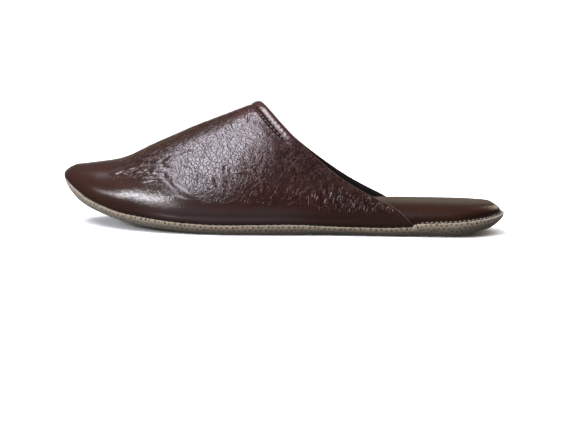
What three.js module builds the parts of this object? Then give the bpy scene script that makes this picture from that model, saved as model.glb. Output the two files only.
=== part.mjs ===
// A leather travel slipper for the left foot: a backless mule of three pieces.
// The outsole is a shallow tray of suede whose edge turns up to the seam.
// The insole is a padded, leather covered bed that fills the tray and swells over its edge at the open heel.
// The upper is one hollow leather vamp, open at the slanting collar and underneath.
//
// Lengths are in millimetres. While a piece is worked out, x runs from the heel's back to the toe,
// y to the outer side of the foot and z up from the floor.
import * as THREE from "three";
import { mergeVertices } from "three/addons/utils/BufferGeometryUtils.js";

// Driving dimensions
const LENGTH = 280;
const BALL_WIDTH = 97;
const INSTEP_HEIGHT = 79;
const HEEL_PAD_HEIGHT = 19.8;
const UPPER_WALL = 1.8;
const SOLE_WALL = 2.4;
const SEAM_GAP = 0.4;
const PAD_GAP = 0.5;
const HEM_WIDTH = 6;
const HEM_RISE = 0.9;

// How far each rounded end reaches in from the heel or the toe
const HEEL_PLAN_ROUND = 36;
const TOE_PLAN_ROUND = 80;
const HEEL_UNDER_ROUND = 14;
const TOE_UNDER_ROUND = 14;
const TOE_CROWN_ROUND = 9;
const PAD_HEEL_ROUND = 11;

// Where the sole's top edge steps down in front of the collar's corner, as shares of the length
const STEP_BACK = 0.2;
const STEP_FRONT = 0.216;

// The sole, a row for each station from the heel to the toe. at: share of the length.
// half: half width at the seam as a share of half the ball width, before the ends are rounded.
// swing: how far the centre line leans to the outer side. under: bottom of the sole. seam: its top edge.
// tuck: how far the edge rolls under.
const SOLE = [
  { at: 0.0, half: 0.7, swing: 0, under: 7.5, seam: 12.3, tuck: 16 },
  { at: 0.05, half: 0.71, swing: 0, under: 3, seam: 11, tuck: 16 },
  { at: 0.125, half: 0.725, swing: 0.3, under: 0, seam: 9.3, tuck: 14 },
  { at: STEP_BACK, half: 0.73, swing: 0.8, under: 0, seam: 8, tuck: 11 },
  { at: STEP_FRONT, half: 0.73, swing: 0.9, under: 0, seam: 6.2, tuck: 11 },
  { at: 0.29, half: 0.735, swing: 1.3, under: 0.2, seam: 5.2, tuck: 9 },
  { at: 0.39, half: 0.77, swing: 1.8, under: 1, seam: 5.6, tuck: 8 },
  { at: 0.48, half: 0.845, swing: 1.8, under: 0.5, seam: 6.6, tuck: 8 },
  { at: 0.554, half: 0.915, swing: 1.5, under: 0, seam: 6.3, tuck: 9 },
  { at: 0.64, half: 0.985, swing: 0.6, under: 0, seam: 6, tuck: 9 },
  { at: 0.714, half: 1, swing: -0.6, under: 0.9, seam: 6.8, tuck: 10 },
  { at: 0.8, half: 0.98, swing: -2.2, under: 2.8, seam: 9, tuck: 11 },
  { at: 0.857, half: 0.955, swing: -3.6, under: 5.4, seam: 11, tuck: 12 },
  { at: 0.88, half: 0.945, swing: -4.1, under: 6.9, seam: 12.2, tuck: 12 },
  { at: 0.93, half: 0.93, swing: -5.4, under: 11.2, seam: 15.2, tuck: 12 },
  { at: 0.965, half: 0.92, swing: -6.6, under: 16, seam: 20, tuck: 12 },
  { at: 1.0, half: 0.91, swing: -8, under: 23, seam: 28, tuck: 12 },
];

// The upper, from the collar's corner to the toe.
// crown: its ridge as a share of the instep height; behind the peak it only guides the side walls.
// flank: how upright the wall starts, as a share of its rise.
// crest: how broad the ridge is, as a share of the half width. bulge: how far the wall leans out over the seam.
const VAMP = [
  { at: STEP_BACK, crown: 1.41, flank: 0.5, crest: 0.6, bulge: 1 },
  { at: 0.29, crown: 1.3, flank: 0.48, crest: 0.6, bulge: 1.5 },
  { at: 0.39, crown: 1.18, flank: 0.45, crest: 0.6, bulge: 2 },
  { at: 0.48, crown: 1.075, flank: 0.43, crest: 0.6, bulge: 2.5 },
  { at: 0.554, crown: 1, flank: 0.42, crest: 0.6, bulge: 3 },
  { at: 0.64, crown: 0.882, flank: 0.43, crest: 0.6, bulge: 3.5 },
  { at: 0.714, crown: 0.775, flank: 0.46, crest: 0.6, bulge: 4 },
  { at: 0.8, crown: 0.636, flank: 0.52, crest: 0.58, bulge: 4 },
  { at: 0.857, crown: 0.535, flank: 0.57, crest: 0.56, bulge: 3.5 },
  { at: 0.88, crown: 0.51, flank: 0.58, crest: 0.56, bulge: 3 },
  { at: 0.93, crown: 0.48, flank: 0.6, crest: 0.58, bulge: 2 },
  { at: 0.965, crown: 0.462, flank: 0.6, crest: 0.6, bulge: 1 },
  { at: 1.0, crown: 0.45, flank: 0.6, crest: 0.6, bulge: 0 },
];

// The insole's top, from the heel to the toe.
// top: height as a share of the heel pad height. overhang: how far the pad swells out over its edge.
const PAD = [
  { at: 0.0, top: 0.98, overhang: 3.5 },
  { at: 0.05, top: 1, overhang: 3.5 },
  { at: 0.125, top: 1, overhang: 3.5 },
  { at: STEP_BACK, top: 1, overhang: 3 },
  { at: STEP_FRONT, top: 1, overhang: 0.8 },
  { at: 0.29, top: 0.97, overhang: 0.8 },
  { at: 0.39, top: 0.76, overhang: 0.8 },
  { at: 0.48, top: 0.58, overhang: 0.8 },
  { at: 0.554, top: 0.48, overhang: 0.8 },
  { at: 0.64, top: 0.45, overhang: 0.8 },
  { at: 0.714, top: 0.48, overhang: 0 },
  { at: 0.8, top: 0.57, overhang: 0 },
  { at: 0.88, top: 0.73, overhang: 0 },
  { at: 0.93, top: 0.92, overhang: 0 },
  { at: 0.965, top: 1.14, overhang: 0 },
  { at: 1.0, top: 1.5, overhang: 0 },
];

// The collar's cut seen from the side, from its corner on the seam to just past the peak.
// at: share of the length. rise: height as a share of the instep height.
const COLLAR = [
  { at: STEP_BACK, rise: 0.04 },
  { at: 0.213, rise: 0.088 },
  { at: 0.257, rise: 0.232 },
  { at: 0.3, rise: 0.308 },
  { at: 0.35, rise: 0.4 },
  { at: 0.45, rise: 0.64 },
  { at: 0.505, rise: 0.805 },
  { at: 0.554, rise: 1 },
  { at: 0.6, rise: 1.2 },
];

// The sole's edge in section: the share of each side that rolls under, how far it swells out and how far down
// the swell lies, as shares of its drop, how tight the roll is, and the most of the half width that it may take
const ROLL_SHARE = 0.75;
const EDGE_SWELL = 0.12;
const EDGE_UPRIGHT = 0.55;
const ROLL_TIGHTNESS = 0.4;
const MOST_TUCK = 0.6;

// The insole's section: how upright its edge starts and how broad its level top is
const PAD_FLANK = 0.82;
const PAD_CREST = 0.86;

// How finely the pieces are faceted
const UPPER_ROWS = 32;
const UPPER_COLUMNS = 32;
const HEEL_STEPS = 8;
const TOE_STEPS = 12;
const WAIST_STEPS = 13;
const REAR_STEPS = 2;
const RIM_STEPS = 6;
const PAD_STEPS = 7;
const COLLAR_SAMPLES = 160;

// A small step for slopes, and the closest that two points of a piece may lie
const PROBE = 0.02;
const MERGE = 1e-3;

const MATERIALS = {
  upper: new THREE.MeshStandardMaterial({ color: 0x3a211c, roughness: 0.35, metalness: 0 }),
  outsole: new THREE.MeshStandardMaterial({ color: 0x9a8d7c, roughness: 0.95, metalness: 0 }),
  insole: new THREE.MeshStandardMaterial({ color: 0x3d241d, roughness: 0.45, metalness: 0 }),
};

// A smooth curve through one column of a table. It never overshoots, so two equal rows leave a level stretch.
function curveThrough(rows, column) {
  const x = rows.map((row) => row.at * LENGTH);
  const y = rows.map((row) => row[column]);
  const rise = x.slice(1).map((next, i) => (y[i + 1] - y[i]) / (next - x[i]));
  const slope = x.map((_, i) => {
    const before = rise[Math.max(i - 1, 0)];
    const after = rise[Math.min(i, rise.length - 1)];
    return before * after <= 0 ? 0 : (2 * before * after) / (before + after);
  });
  return (at) => {
    const inside = THREE.MathUtils.clamp(at, x[0], x[x.length - 1]);
    const i = Math.max(0, x.findLastIndex((start, k) => start <= inside && k < x.length - 1));
    const run = x[i + 1] - x[i];
    const t = (inside - x[i]) / run;
    const left = (1 + 2 * t) * (1 - t) ** 2 * y[i] + t * (1 - t) ** 2 * run * slope[i];
    return left + t * t * (3 - 2 * t) * y[i + 1] + t * t * (t - 1) * run * slope[i + 1];
  };
}

// Every column of a table as a curve, by its name
function curvesOf(rows) {
  const names = Object.keys(rows[0]).filter((name) => name !== "at");
  return Object.fromEntries(names.map((name) => [name, curveThrough(rows, name)]));
}

const sole = curvesOf(SOLE);
const vamp = curvesOf(VAMP);
const pad = curvesOf(PAD);
const collar = curvesOf(COLLAR);

// A quarter round: 0 at an end, 1 from the given reach inwards.
function roundEnd(distance, reach) {
  const t = THREE.MathUtils.clamp(distance / reach, 0, 1);
  return Math.sqrt(1 - (1 - t) ** 2);
}

function seamHalfWidth(x) {
  const plan = roundEnd(x, HEEL_PLAN_ROUND) * roundEnd(LENGTH - x, TOE_PLAN_ROUND);
  return (BALL_WIDTH / 2) * sole.half(x) * plan;
}

function bezier(t, start, leave, arrive, end) {
  const s = 1 - t;
  return s ** 3 * start + 3 * s * s * t * leave + 3 * s * t * t * arrive + t ** 3 * end;
}

// The upper's outer skin. v is 1 on the outer seam, 0 on the ridge and -1 on the inner seam.
function upperSkin(x, v) {
  const half = seamHalfWidth(x);
  const toe = roundEnd(LENGTH - x, TOE_CROWN_ROUND);
  const base = sole.seam(x) + SEAM_GAP;
  const rise = (INSTEP_HEIGHT * vamp.crown(x) - base) * toe;
  const t = 1 - Math.abs(v);
  const out = bezier(t, half, half + vamp.bulge(x) * toe, half * vamp.crest(x), 0);
  const up = bezier(t, 0, rise * vamp.flank(x), rise, rise);
  return new THREE.Vector3(x, sole.swing(x) + Math.sign(v) * out, base + up);
}

// The sole's outer skin. v is -1 on the inner seam, 0 under the middle and 1 on the outer seam.
// The edge rolls under over the first part of each side, and the rest of the bottom is level.
function soleSkin(x, v) {
  const half = seamHalfWidth(x);
  const seam = sole.seam(x);
  const ends = roundEnd(x, HEEL_UNDER_ROUND) * roundEnd(LENGTH - x, TOE_UNDER_ROUND);
  const drop = (seam - sole.under(x)) * ends;
  const tuck = Math.min(sole.tuck(x), half * MOST_TUCK);
  const rolled = Math.min((1 - Math.abs(v)) / ROLL_SHARE, 1);
  const level = Math.min(Math.abs(v) / (1 - ROLL_SHARE), 1);
  const out = level * bezier(rolled, half, half + EDGE_SWELL * drop, half - tuck * ROLL_TIGHTNESS, half - tuck);
  const down = bezier(rolled, 0, drop * EDGE_UPRIGHT, drop, drop);
  return new THREE.Vector3(x, sole.swing(x) + Math.sign(v) * out, seam - down);
}

// The direction out of a skin, by small steps along it to either side. At the tips it is level and lengthways.
function outwardOf(skin, side) {
  return (x, v) => {
    if (x <= 0 || x >= LENGTH) return new THREE.Vector3(Math.sign(x - LENGTH / 2), 0, 0);
    const at = THREE.MathUtils.clamp(x, 2 * PROBE, LENGTH - 2 * PROBE);
    const round = THREE.MathUtils.clamp(v, PROBE - 1, 1 - PROBE);
    const alongX = skin(at + PROBE, round).sub(skin(at - PROBE, round));
    const alongV = skin(at, round + PROBE).sub(skin(at, round - PROBE));
    return alongX.cross(alongV).setLength(side);
  };
}

const upperOutward = outwardOf(upperSkin, 1);
const soleOutward = outwardOf(soleSkin, -1);

// The value between low and high where a test first turns from true to false.
function turningPoint(low, high, test) {
  for (let halving = 0; halving < 40; halving++) {
    const middle = (low + high) / 2;
    if (test(middle)) low = middle;
    else high = middle;
  }
  return low;
}

// Where the collar cuts the line of constant v
function collarCut(v) {
  const above = (x) => upperSkin(x, v).z > INSTEP_HEIGHT * collar.rise(x);
  return turningPoint(COLLAR[0].at * LENGTH, COLLAR[COLLAR.length - 1].at * LENGTH, above);
}

const collarEdge = Array.from({ length: COLLAR_SAMPLES + 1 }, (_, k) => {
  const v = (2 * k) / COLLAR_SAMPLES - 1;
  return upperSkin(collarCut(v), v);
});

function distanceToCollar(point) {
  const nearest = new THREE.Vector3();
  const stretch = new THREE.Line3();
  const toStretch = (start, k) => {
    stretch.set(start, collarEdge[k + 1]).closestPointToPoint(point, true, nearest);
    return nearest.distanceTo(point);
  };
  return Math.min(...collarEdge.slice(0, -1).map(toStretch));
}

// How far forward of the collar a line of constant v lies a given distance from the edge
function inFromCollar(v, distance) {
  const cut = collarCut(v);
  const nearer = (x) => distanceToCollar(upperSkin(x, v)) < distance;
  return turningPoint(cut, Math.min(cut + 6 * distance, LENGTH), nearer);
}

// Rings of equal length are joined into one closed solid. A ring that shrinks to a point or line closes an end.
// With rimAtEnd, the last ring is a wall's edge: each outer point is joined to its twin on the inner side.
function loft(rings, rimAtEnd = false) {
  const count = rings[0].length;
  const faces = [];
  for (let i = 0; i < rings.length - 1; i++) {
    for (let k = 0; k < count; k++) {
      const a = i * count + k;
      const b = i * count + ((k + 1) % count);
      faces.push([a, a + count, b + count], [a, b + count, b]);
    }
  }
  if (rimAtEnd) {
    const first = (rings.length - 1) * count;
    for (let k = 0; k < count / 2 - 1; k++) {
      const [outer, inner] = [first + k, first + count - 1 - k];
      faces.push([outer + 1, outer, inner], [outer + 1, inner, inner - 1]);
    }
  }
  const loose = new THREE.BufferGeometry().setFromPoints(rings.flat()).setIndex(faces.flat());
  const geometry = mergeVertices(loose, MERGE);
  const corners = Array.from(geometry.index.array);
  const triangles = faces.map((_, f) => corners.slice(3 * f, 3 * f + 3));
  const kept = triangles.filter((triangle) => new Set(triangle).size === 3);
  geometry.setIndex(kept.flat());
  geometry.computeVertexNormals();
  return geometry;
}

// Shares from 0 to 1 in equal steps
const steps = (count) => Array.from({ length: count + 1 }, (_, k) => k / count);
const spread = (from, to, count) => steps(count).map((share) => from + (to - from) * share);

// Stations from the toe to the heel, close together where the ends turn in and at the seam's step
function soleStations() {
  const quarter = (share) => 1 - Math.cos((share * Math.PI) / 2);
  const toe = steps(TOE_STEPS).map((share) => LENGTH - TOE_PLAN_ROUND * quarter(share));
  const heel = steps(HEEL_STEPS).map((share) => HEEL_PLAN_ROUND * quarter(share));
  const step = spread(STEP_FRONT * LENGTH, STEP_BACK * LENGTH, 2);
  const waist = spread(LENGTH - TOE_PLAN_ROUND, step[0], WAIST_STEPS).slice(1, -1);
  const rear = spread(step[2], HEEL_PLAN_ROUND, REAR_STEPS).slice(1, -1);
  return [...toe, ...waist, ...step, ...rear, ...heel.reverse()];
}

const rimShares = steps(RIM_STEPS).map((share) => 1 - ROLL_SHARE * share);
const soleRounds = [...rimShares, 0, ...rimShares.map((v) => -v).reverse()].reverse();

function offset(skin, outward, x, v, distance) {
  return skin(x, v).addScaledVector(outward(x, v), distance);
}

function outsole() {
  const rings = soleStations().map((x) => {
    const outer = soleRounds.map((v) => soleSkin(x, v));
    const inner = soleRounds.map((v) => offset(soleSkin, soleOutward, x, v, -SOLE_WALL));
    return [...outer, ...inner.reverse()];
  });
  return loft(rings);
}

// Half of the insole's top, from its edge to the middle: it leans out over the seam, rises and levels off.
function padHalf(x, side) {
  const inset = -(SOLE_WALL + PAD_GAP);
  const edge = offset(soleSkin, soleOutward, x, side, inset);
  const facing = soleOutward(x, side).setZ(0).normalize();
  const ends = roundEnd(x, PAD_HEEL_ROUND) * roundEnd(LENGTH - x, TOE_UNDER_ROUND);
  const rise = (HEEL_PAD_HEIGHT * pad.top(x) - edge.z) * ends;
  const leave = edge.clone().addScaledVector(facing, pad.overhang(x) * ends);
  leave.z += rise * PAD_FLANK;
  const middle = new THREE.Vector3(edge.x, sole.swing(x), edge.z + rise);
  const arrive = middle.clone().setY(THREE.MathUtils.lerp(middle.y, edge.y, PAD_CREST));
  return new THREE.CubicBezierCurve3(edge, leave, arrive, middle).getPoints(PAD_STEPS);
}

function insole() {
  const inset = -(SOLE_WALL + PAD_GAP);
  const rings = soleStations().map((x) => {
    const bottom = soleRounds.map((v) => offset(soleSkin, soleOutward, x, v, inset));
    const outerTop = padHalf(x, 1).slice(1);
    const innerTop = padHalf(x, -1).slice(1, -1).reverse();
    return [...bottom, ...outerTop, ...innerTop];
  });
  return loft(rings);
}

function upper() {
  const rounds = spread(1, -1, UPPER_COLUMNS);
  const hem = [
    { inset: HEM_WIDTH, rise: HEM_RISE },
    { inset: HEM_WIDTH / 2, rise: HEM_RISE },
    { inset: 0, rise: HEM_RISE * 0.6 },
  ];
  // Rows crowd towards the toe, where the sections shrink, and the hem's rows follow the collar.
  const crowded = (share) => share * share * (1.5 - 0.5 * share);
  const rowsOf = (v) => {
    const reach = LENGTH - inFromCollar(v, HEM_WIDTH + HEM_RISE / 2);
    const plain = steps(UPPER_ROWS).map((share) => ({ x: LENGTH - reach * crowded(share), rise: 0 }));
    const raised = hem.map(({ inset, rise }) => ({ x: inFromCollar(v, inset), rise }));
    return [...plain, ...raised];
  };
  const lines = rounds.map((v) => ({ v, rows: rowsOf(v) }));
  const rings = lines[0].rows.map((_, i) => {
    const outer = lines.map(({ v, rows }) => offset(upperSkin, upperOutward, rows[i].x, v, rows[i].rise));
    const inner = lines.map(({ v, rows }) => offset(upperSkin, upperOutward, rows[i].x, v, -UPPER_WALL));
    return [...outer, ...inner.reverse()];
  });
  return loft(rings, true);
}

// The slipper stands on the floor with its length along x, centred over the origin.
function slipper() {
  const pieces = { outsole: outsole(), insole: insole(), upper: upper() };
  const shoe = new THREE.Group();
  for (const [name, geometry] of Object.entries(pieces)) {
    const mesh = new THREE.Mesh(geometry, MATERIALS[name]);
    mesh.name = name;
    shoe.add(mesh);
  }
  const middle = new THREE.Box3().setFromObject(shoe).getCenter(new THREE.Vector3());
  shoe.position.set(-middle.x, -middle.y, 0);
  return new THREE.Group().add(shoe);
}

export default slipper();
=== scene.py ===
"""A leather travel slipper, dressed around its solids.

The vamp is dark brown glazed leather with fine crinkles and placed creases, turned over into a stitched
hem. A black lining lies inside it, a padded insole fills the sole, and the sole is beige suede with small
dark pores. Shapes are worked out in millimetres, with x from the heel's back to the toe, y to the outer side
and z up.
"""

import math

import bmesh
import bpy
import numpy as np
from mathutils import Matrix, Vector


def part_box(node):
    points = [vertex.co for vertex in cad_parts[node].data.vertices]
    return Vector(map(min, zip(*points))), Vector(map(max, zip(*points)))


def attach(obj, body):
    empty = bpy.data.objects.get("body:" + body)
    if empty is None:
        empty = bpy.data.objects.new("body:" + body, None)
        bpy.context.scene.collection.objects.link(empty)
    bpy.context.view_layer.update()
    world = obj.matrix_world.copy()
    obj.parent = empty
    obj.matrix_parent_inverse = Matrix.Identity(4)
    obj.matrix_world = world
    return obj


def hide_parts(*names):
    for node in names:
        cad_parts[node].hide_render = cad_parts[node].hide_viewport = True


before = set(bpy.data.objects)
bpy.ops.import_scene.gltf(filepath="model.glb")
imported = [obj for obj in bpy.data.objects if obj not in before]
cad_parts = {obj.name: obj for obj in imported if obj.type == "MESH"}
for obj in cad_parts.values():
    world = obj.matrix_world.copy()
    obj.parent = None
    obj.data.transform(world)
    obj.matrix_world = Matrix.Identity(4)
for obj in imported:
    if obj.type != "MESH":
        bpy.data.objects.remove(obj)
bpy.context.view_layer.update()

bl_info = {
    "name": "Travel Slipper",
    "version": (1, 0, 0),
    "blender": (4, 5, 0),
    "location": "View3D > Sidebar > Slipper",
    "description": "Builds a leather travel slipper with its lining, stitches and stage",
    "category": "Add Mesh",
}

MM = 0.001

# Driving dimensions
LENGTH = 280
BALL_WIDTH = 97
INSTEP_HEIGHT = 79
HEEL_PAD_HEIGHT = 19.8
SOLE_WALL = 2.4
SEAM_GAP = 0.4
PAD_GAP = 0.5
LEATHER = 1.25
LINING = 0.5
LINING_GAP = 0.08

# The collar's edge. The hem shows above its low height. The collar stands higher on the outer side by its
# lean, in one hump from the ridge over a share of the way down. The rolled edges start a little below the
# cut, and the stitch holes lie at a gap from it.
HEM_WIDTH = 6
HEM_LOW = 53
HEM_FADE = 10
HEM_START = 0.5
COLLAR_LEAN = 3
LEAN_REACH = 0.75
UPPER_LOWERED = 1.2
LINING_LOWERED = 2.6
HOLE_GAP = 6.4
HOLE_RADIUS = 0.95

# How far each rounded end reaches in from the heel or the toe
HEEL_PLAN_ROUND = 36
TOE_PLAN_ROUND = 80
HEEL_UNDER_ROUND = 14
TOE_UNDER_ROUND = 14
TOE_CROWN_ROUND = 9
PAD_HEEL_ROUND = 8

# Where the sole's top edge steps down in front of the collar's corner, as shares of the length
STEP_BACK = 0.2
STEP_FRONT = 0.216

# The sole: share of the length, half width as a share of half the ball width, swing of the centre line to the
# outer side, bottom, top edge, and how far the edge rolls under. Round the toe and at the heel's end the top
# edge stands up to 3 mm higher than in the solids.
SOLE_COLUMNS = ("at", "half", "swing", "under", "seam", "tuck")
SOLE = (
    (0.0, 0.7, 0, 7.5, 13.2, 16),
    (0.05, 0.71, 0, 3, 11.3, 16),
    (0.125, 0.725, 0.3, 0, 9.3, 14),
    (STEP_BACK, 0.73, 0.8, 0, 8, 11),
    (STEP_FRONT, 0.73, 0.9, 0, 6.2, 11),
    (0.29, 0.735, 1.3, 0.2, 5.2, 9),
    (0.39, 0.77, 1.8, 1, 5.6, 8),
    (0.48, 0.845, 1.8, 0.5, 6.6, 8),
    (0.554, 0.915, 1.5, 0, 6.3, 9),
    (0.64, 0.985, 0.6, 0, 6, 9),
    (0.714, 1, -0.6, 0.9, 6.8, 10),
    (0.8, 0.98, -2.2, 2.8, 9, 11),
    (0.857, 0.955, -3.6, 5.4, 11, 12),
    (0.88, 0.945, -4.1, 6.9, 12.7, 12),
    (0.93, 0.93, -5.4, 11.2, 17.3, 12),
    (0.965, 0.92, -6.6, 16, 23, 12),
    (1.0, 0.91, -8, 23, 29.5, 12),
)

# The vamp: ridge as a share of the instep height, how upright the wall starts, how broad the ridge is,
# and how far the wall leans out over the seam
VAMP_COLUMNS = ("at", "crown", "flank", "crest", "bulge")
VAMP = (
    (STEP_BACK, 1.41, 0.5, 0.6, 1),
    (0.29, 1.3, 0.48, 0.6, 1.5),
    (0.39, 1.18, 0.45, 0.6, 2),
    (0.48, 1.075, 0.43, 0.6, 2.5),
    (0.554, 1, 0.42, 0.6, 3),
    (0.64, 0.882, 0.43, 0.6, 3.5),
    (0.714, 0.775, 0.46, 0.6, 4),
    (0.8, 0.636, 0.52, 0.58, 4),
    (0.857, 0.535, 0.57, 0.56, 3.5),
    (0.88, 0.51, 0.58, 0.56, 3),
    (0.93, 0.48, 0.6, 0.58, 2),
    (0.965, 0.462, 0.6, 0.6, 1),
    (1.0, 0.45, 0.6, 0.6, 0),
)

# The insole: top as a share of the heel pad height, how far the pad swells out over its edge, and the edge's
# height, which is that of the solids
PAD_COLUMNS = ("at", "top", "overhang", "edge")
PAD = (
    (0.0, 0.98, 3.5, 12.3),
    (0.05, 1, 3.4, 11),
    (0.125, 1, 2.4, 9.3),
    (0.17, 1, 1.8, 8.3),
    (STEP_FRONT, 1, 1.3, 7.1),
    (0.29, 0.97, 0.8, 5.2),
    (0.39, 0.76, 0.8, 5.6),
    (0.48, 0.58, 0.8, 6.6),
    (0.554, 0.48, 0.8, 6.3),
    (0.64, 0.45, 0.8, 6),
    (0.714, 0.48, 0, 6.8),
    (0.8, 0.57, 0, 9),
    (0.88, 0.73, 0, 12.2),
    (0.93, 0.92, 0, 15.2),
    (0.965, 1.14, 0, 20),
    (1.0, 1.5, 0, 28),
)

# The collar's cut seen from the side: share of the length, height as a share of the instep height
COLLAR_COLUMNS = ("at", "rise")
COLLAR = (
    (STEP_BACK, 0.04),
    (0.213, 0.088),
    (0.257, 0.232),
    (0.3, 0.308),
    (0.35, 0.4),
    (0.45, 0.64),
    (0.505, 0.805),
    (0.554, 1),
    (0.6, 1.2),
)

# Sections of the sole's edge and of the pad, as in the solids
ROLL_SHARE = 0.75
EDGE_SWELL = 0.12
EDGE_UPRIGHT = 0.55
ROLL_TIGHTNESS = 0.4
MOST_TUCK = 0.6
PAD_FLANK = 0.82
PAD_CREST = 0.86

# Creases of the vamp's outer side: start, middle and end, each as distance from the heel and height above the
# floor, half width of the trough, and depth, which is negative for a raised fold
CREASES = (
    ((247, 32.5), (235, 35.6), (224, 40), 1.4, -0.9),
    ((242, 31.5), (234, 34), (226, 37.5), 1.2, 0.45),
    ((227, 39.2), (214, 42.5), (206, 46.4), 1.3, 0.6),
    ((228, 41), (215, 44.5), (205, 48.2), 1.3, -0.7),
    ((206, 46.4), (200, 48.4), (193, 49.3), 1.3, 0.5),
    ((237, 32.5), (224, 36), (216, 39), 1.4, 0.55),
    ((236, 40), (229, 42.1), (222, 41.7), 1.3, -0.7),
    ((231, 43), (225, 44), (219, 44), 1.1, 0.4),
    ((227, 30), (219, 32), (210, 32.7), 1.4, -0.2),
    ((228, 28), (220, 29.8), (212, 30.4), 1.4, 0.12),
    ((216, 37), (208, 31.2), (202, 24.5), 1.6, 0.1),
    ((204, 26), (199, 23.1), (192, 21), 1.6, 0.1),
    ((213, 34.2), (202, 27.9), (192, 22), 1.2, -0.08),
    ((189, 39), (190, 33.5), (188, 27), 1.6, 0.3),
    ((178, 47), (177, 37.7), (175.5, 26), 1.8, -0.2),
    ((182, 36), (179.5, 31.8), (178.5, 26), 1.8, 0.28),
    ((172.5, 40.3), (171, 37.8), (168, 34.5), 1.3, 0.2),
    ((186, 56.6), (175, 57.1), (163, 57.1), 1.6, 0.25),
    ((174.5, 68), (173, 63.4), (170.5, 59), 1.3, 0.3),
    ((162, 72), (162, 68.5), (161.5, 63.5), 1.3, 0.3),
    ((169, 37.2), (165, 37.8), (162, 38.4), 1.0, -0.35),
    ((153.5, 35), (152, 29.4), (152.5, 23), 1.2, -0.45),
    ((138, 32.2), (135, 33), (131, 34.5), 1.1, -0.25),
    ((117.5, 30), (114, 24.3), (112, 15), 1.3, -0.65),
    ((120, 28), (116.5, 23), (115, 14), 1.4, 0.55),
    ((111, 32), (113, 27.9), (112, 22), 1.1, 0.5),
    ((104, 25.5), (100, 22.1), (97.5, 17), 1.2, 0.55),
    ((97, 25.5), (92, 19.9), (87, 15), 1.2, 0.5),
    ((129, 24.5), (125, 28.5), (121, 31), 1.1, -0.4),
    ((144, 41), (136, 34), (141, 27), 1.3, 0.4),
    ((105, 34), (107, 27), (105, 15), 1.3, 0.5),
    ((91, 25), (88, 20), (82, 16), 1.2, 0.4),
)

# The inner side has the same creases, moved along and weaker
INNER_SHIFT = -6
INNER_SHARE = 0.8

# Every crease: how many points its path has, the low ridges beside it, where its ends start to fade in, and
# the shares of its length over which they do
CREASE_STEPS = 15
CREASE_RIDGE = 1.1
CREASE_START = -0.1
CREASE_FADE_IN = 0.3
CREASE_FADE_OUT = 0.4

# Forms along the collar and along the seam: height or depth, distance from the edge, and width
EDGE_TUCK = (0.5, 0, 1.3)
HEM_DIP = (0.45, HEM_WIDTH + 2.4, 3.4)
HEM_BEADS = (0.26, 0.74 * HEM_WIDTH, 1.3)
HEM_PUCKERS = (0.06, HEM_WIDTH + 2.8, 1.6)
HEM_GROOVE = (0.7, HOLE_GAP, 0.8)
FAINT_GROOVE = (0.04, HOLE_GAP, 0.8)
SEAM_TUCK = (0.7, 0, 1.1)
SEAM_RIDGE = (0.05, 2.6, 1.6)
WAIST_FOLD = (0.3, 4.4, 1.3)

# The hem's puff: half width in shares of the hem's, how round it is, and its least share down the sides.
# The beads lose a share of their height near the peak.
HEM_SPREAD = 0.56
HEM_ROUND = 0.6
LEAST_PUFF = 0.1
BEADS_LOSS = 0.75

# Stretches of the vamp, as distances from the heel over which each fades in and fades out again
WAIST = (70, 120, 190, 235)
TOE_BAND = (185, 205, 240, 252)
LENGTHWAYS = (200, 214, 244, 254)
LOW_STRIP = (110, 150, 205, 235)

# Ramps of the vamp's relief: where each starts to change and where it has changed. Those off the ridge are in
# turns v, those of the hem in heights, the clear ones in distances from seam or hem, the rest from the heel.
OFF_RIDGE = (0.05, 0.2)
BEADS_FADE = (66, 74)
DIP_FADE = (66, 73)
CLEAR_OF_HEM = 2.5
CLEAR_OF_SEAM = (2, 8)
CREASES_CLEAR_OF_SEAM = (3, 8)
CREASES_CLEAR_OF_HEM = (2, 8)
TIP_FADE = (1, 22)
TOE_SMOOTH = (236, 254)
TOE_SLANT = 0.2
SLANT_LEVEL = 30

# The crinkle starts above a smooth strip along the seam, which grows towards the toe, over a soft edge
STRIP_HEIGHT = 6.5
STRIP_GROWTH = ((2.5, 120, 150), (11, 186, 206))
STRIP_EDGE = 5
STRIP_NOISE = (2, 25, 3)
LEAST_CRINKLE = 0.08
TOE_CRINKLE = 0.3
TOE_CRINKLE_ABOVE_SEAM = (5, 9)

# It is calmer under the collar and round a place above the ball: shares, ramps, and the place with its reach
BACK_CALM = 0.1
BACK_CALM_ABOVE = (28, 40)
BACK_CALM_BEHIND = (152, 168)
BALL_CALM = 0.45
BALL_CALM_AT = (212, 29.5)
BALL_CALM_REACH = (11, 5)

# Zones of the vamp's material, as ramps over the distance from the heel, the height or the way off the seam
UPRIGHT_BEHIND = (115, 170)
UPRIGHT_BELOW = (24, 40)
UPRIGHT_SLANT = 0.6
WARM_BEHIND = (150, 195)
WARM_ABOVE_SEAM = (6, 13)
MATT_ABOVE = (24, 36)
MATT_BEHIND = (138, 156)
STRIP_BELOW = (7, 13)
LENGTHWAYS_ABOVE = (24, 29)
SEWN_OFF_RIDGE = (0.05, 0.15)
SEWN_FADE = 8
HEMMED_FADE = 3

# Noises of the vamp's relief: height, cell size and seed
SLOW_NOISES = ((0.3, (34, 30, 24), 41), (0.1, (15, 15, 12), 42))
WRINKLE_NOISE = (0.06, (3.4, 4.6, 4.6), 33)
FOLD_NOISE = (0.5, 30, 5)
LINING_NOISE = (0.1, 9, 51)

# Troughs where a noise crosses zero: depth, cell size, seed and width. Both noises are bent by slower ones.
TROUGHS = ((0.13, (5.0, 9.0, 9.0), 31, 0.3), (0.08, (8.0, 5.5, 5.5), 32, 0.28))
BEND = 1.6
BEND_SIZE = 7
BEND_SEEDS = (21, 22, 23)

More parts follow.
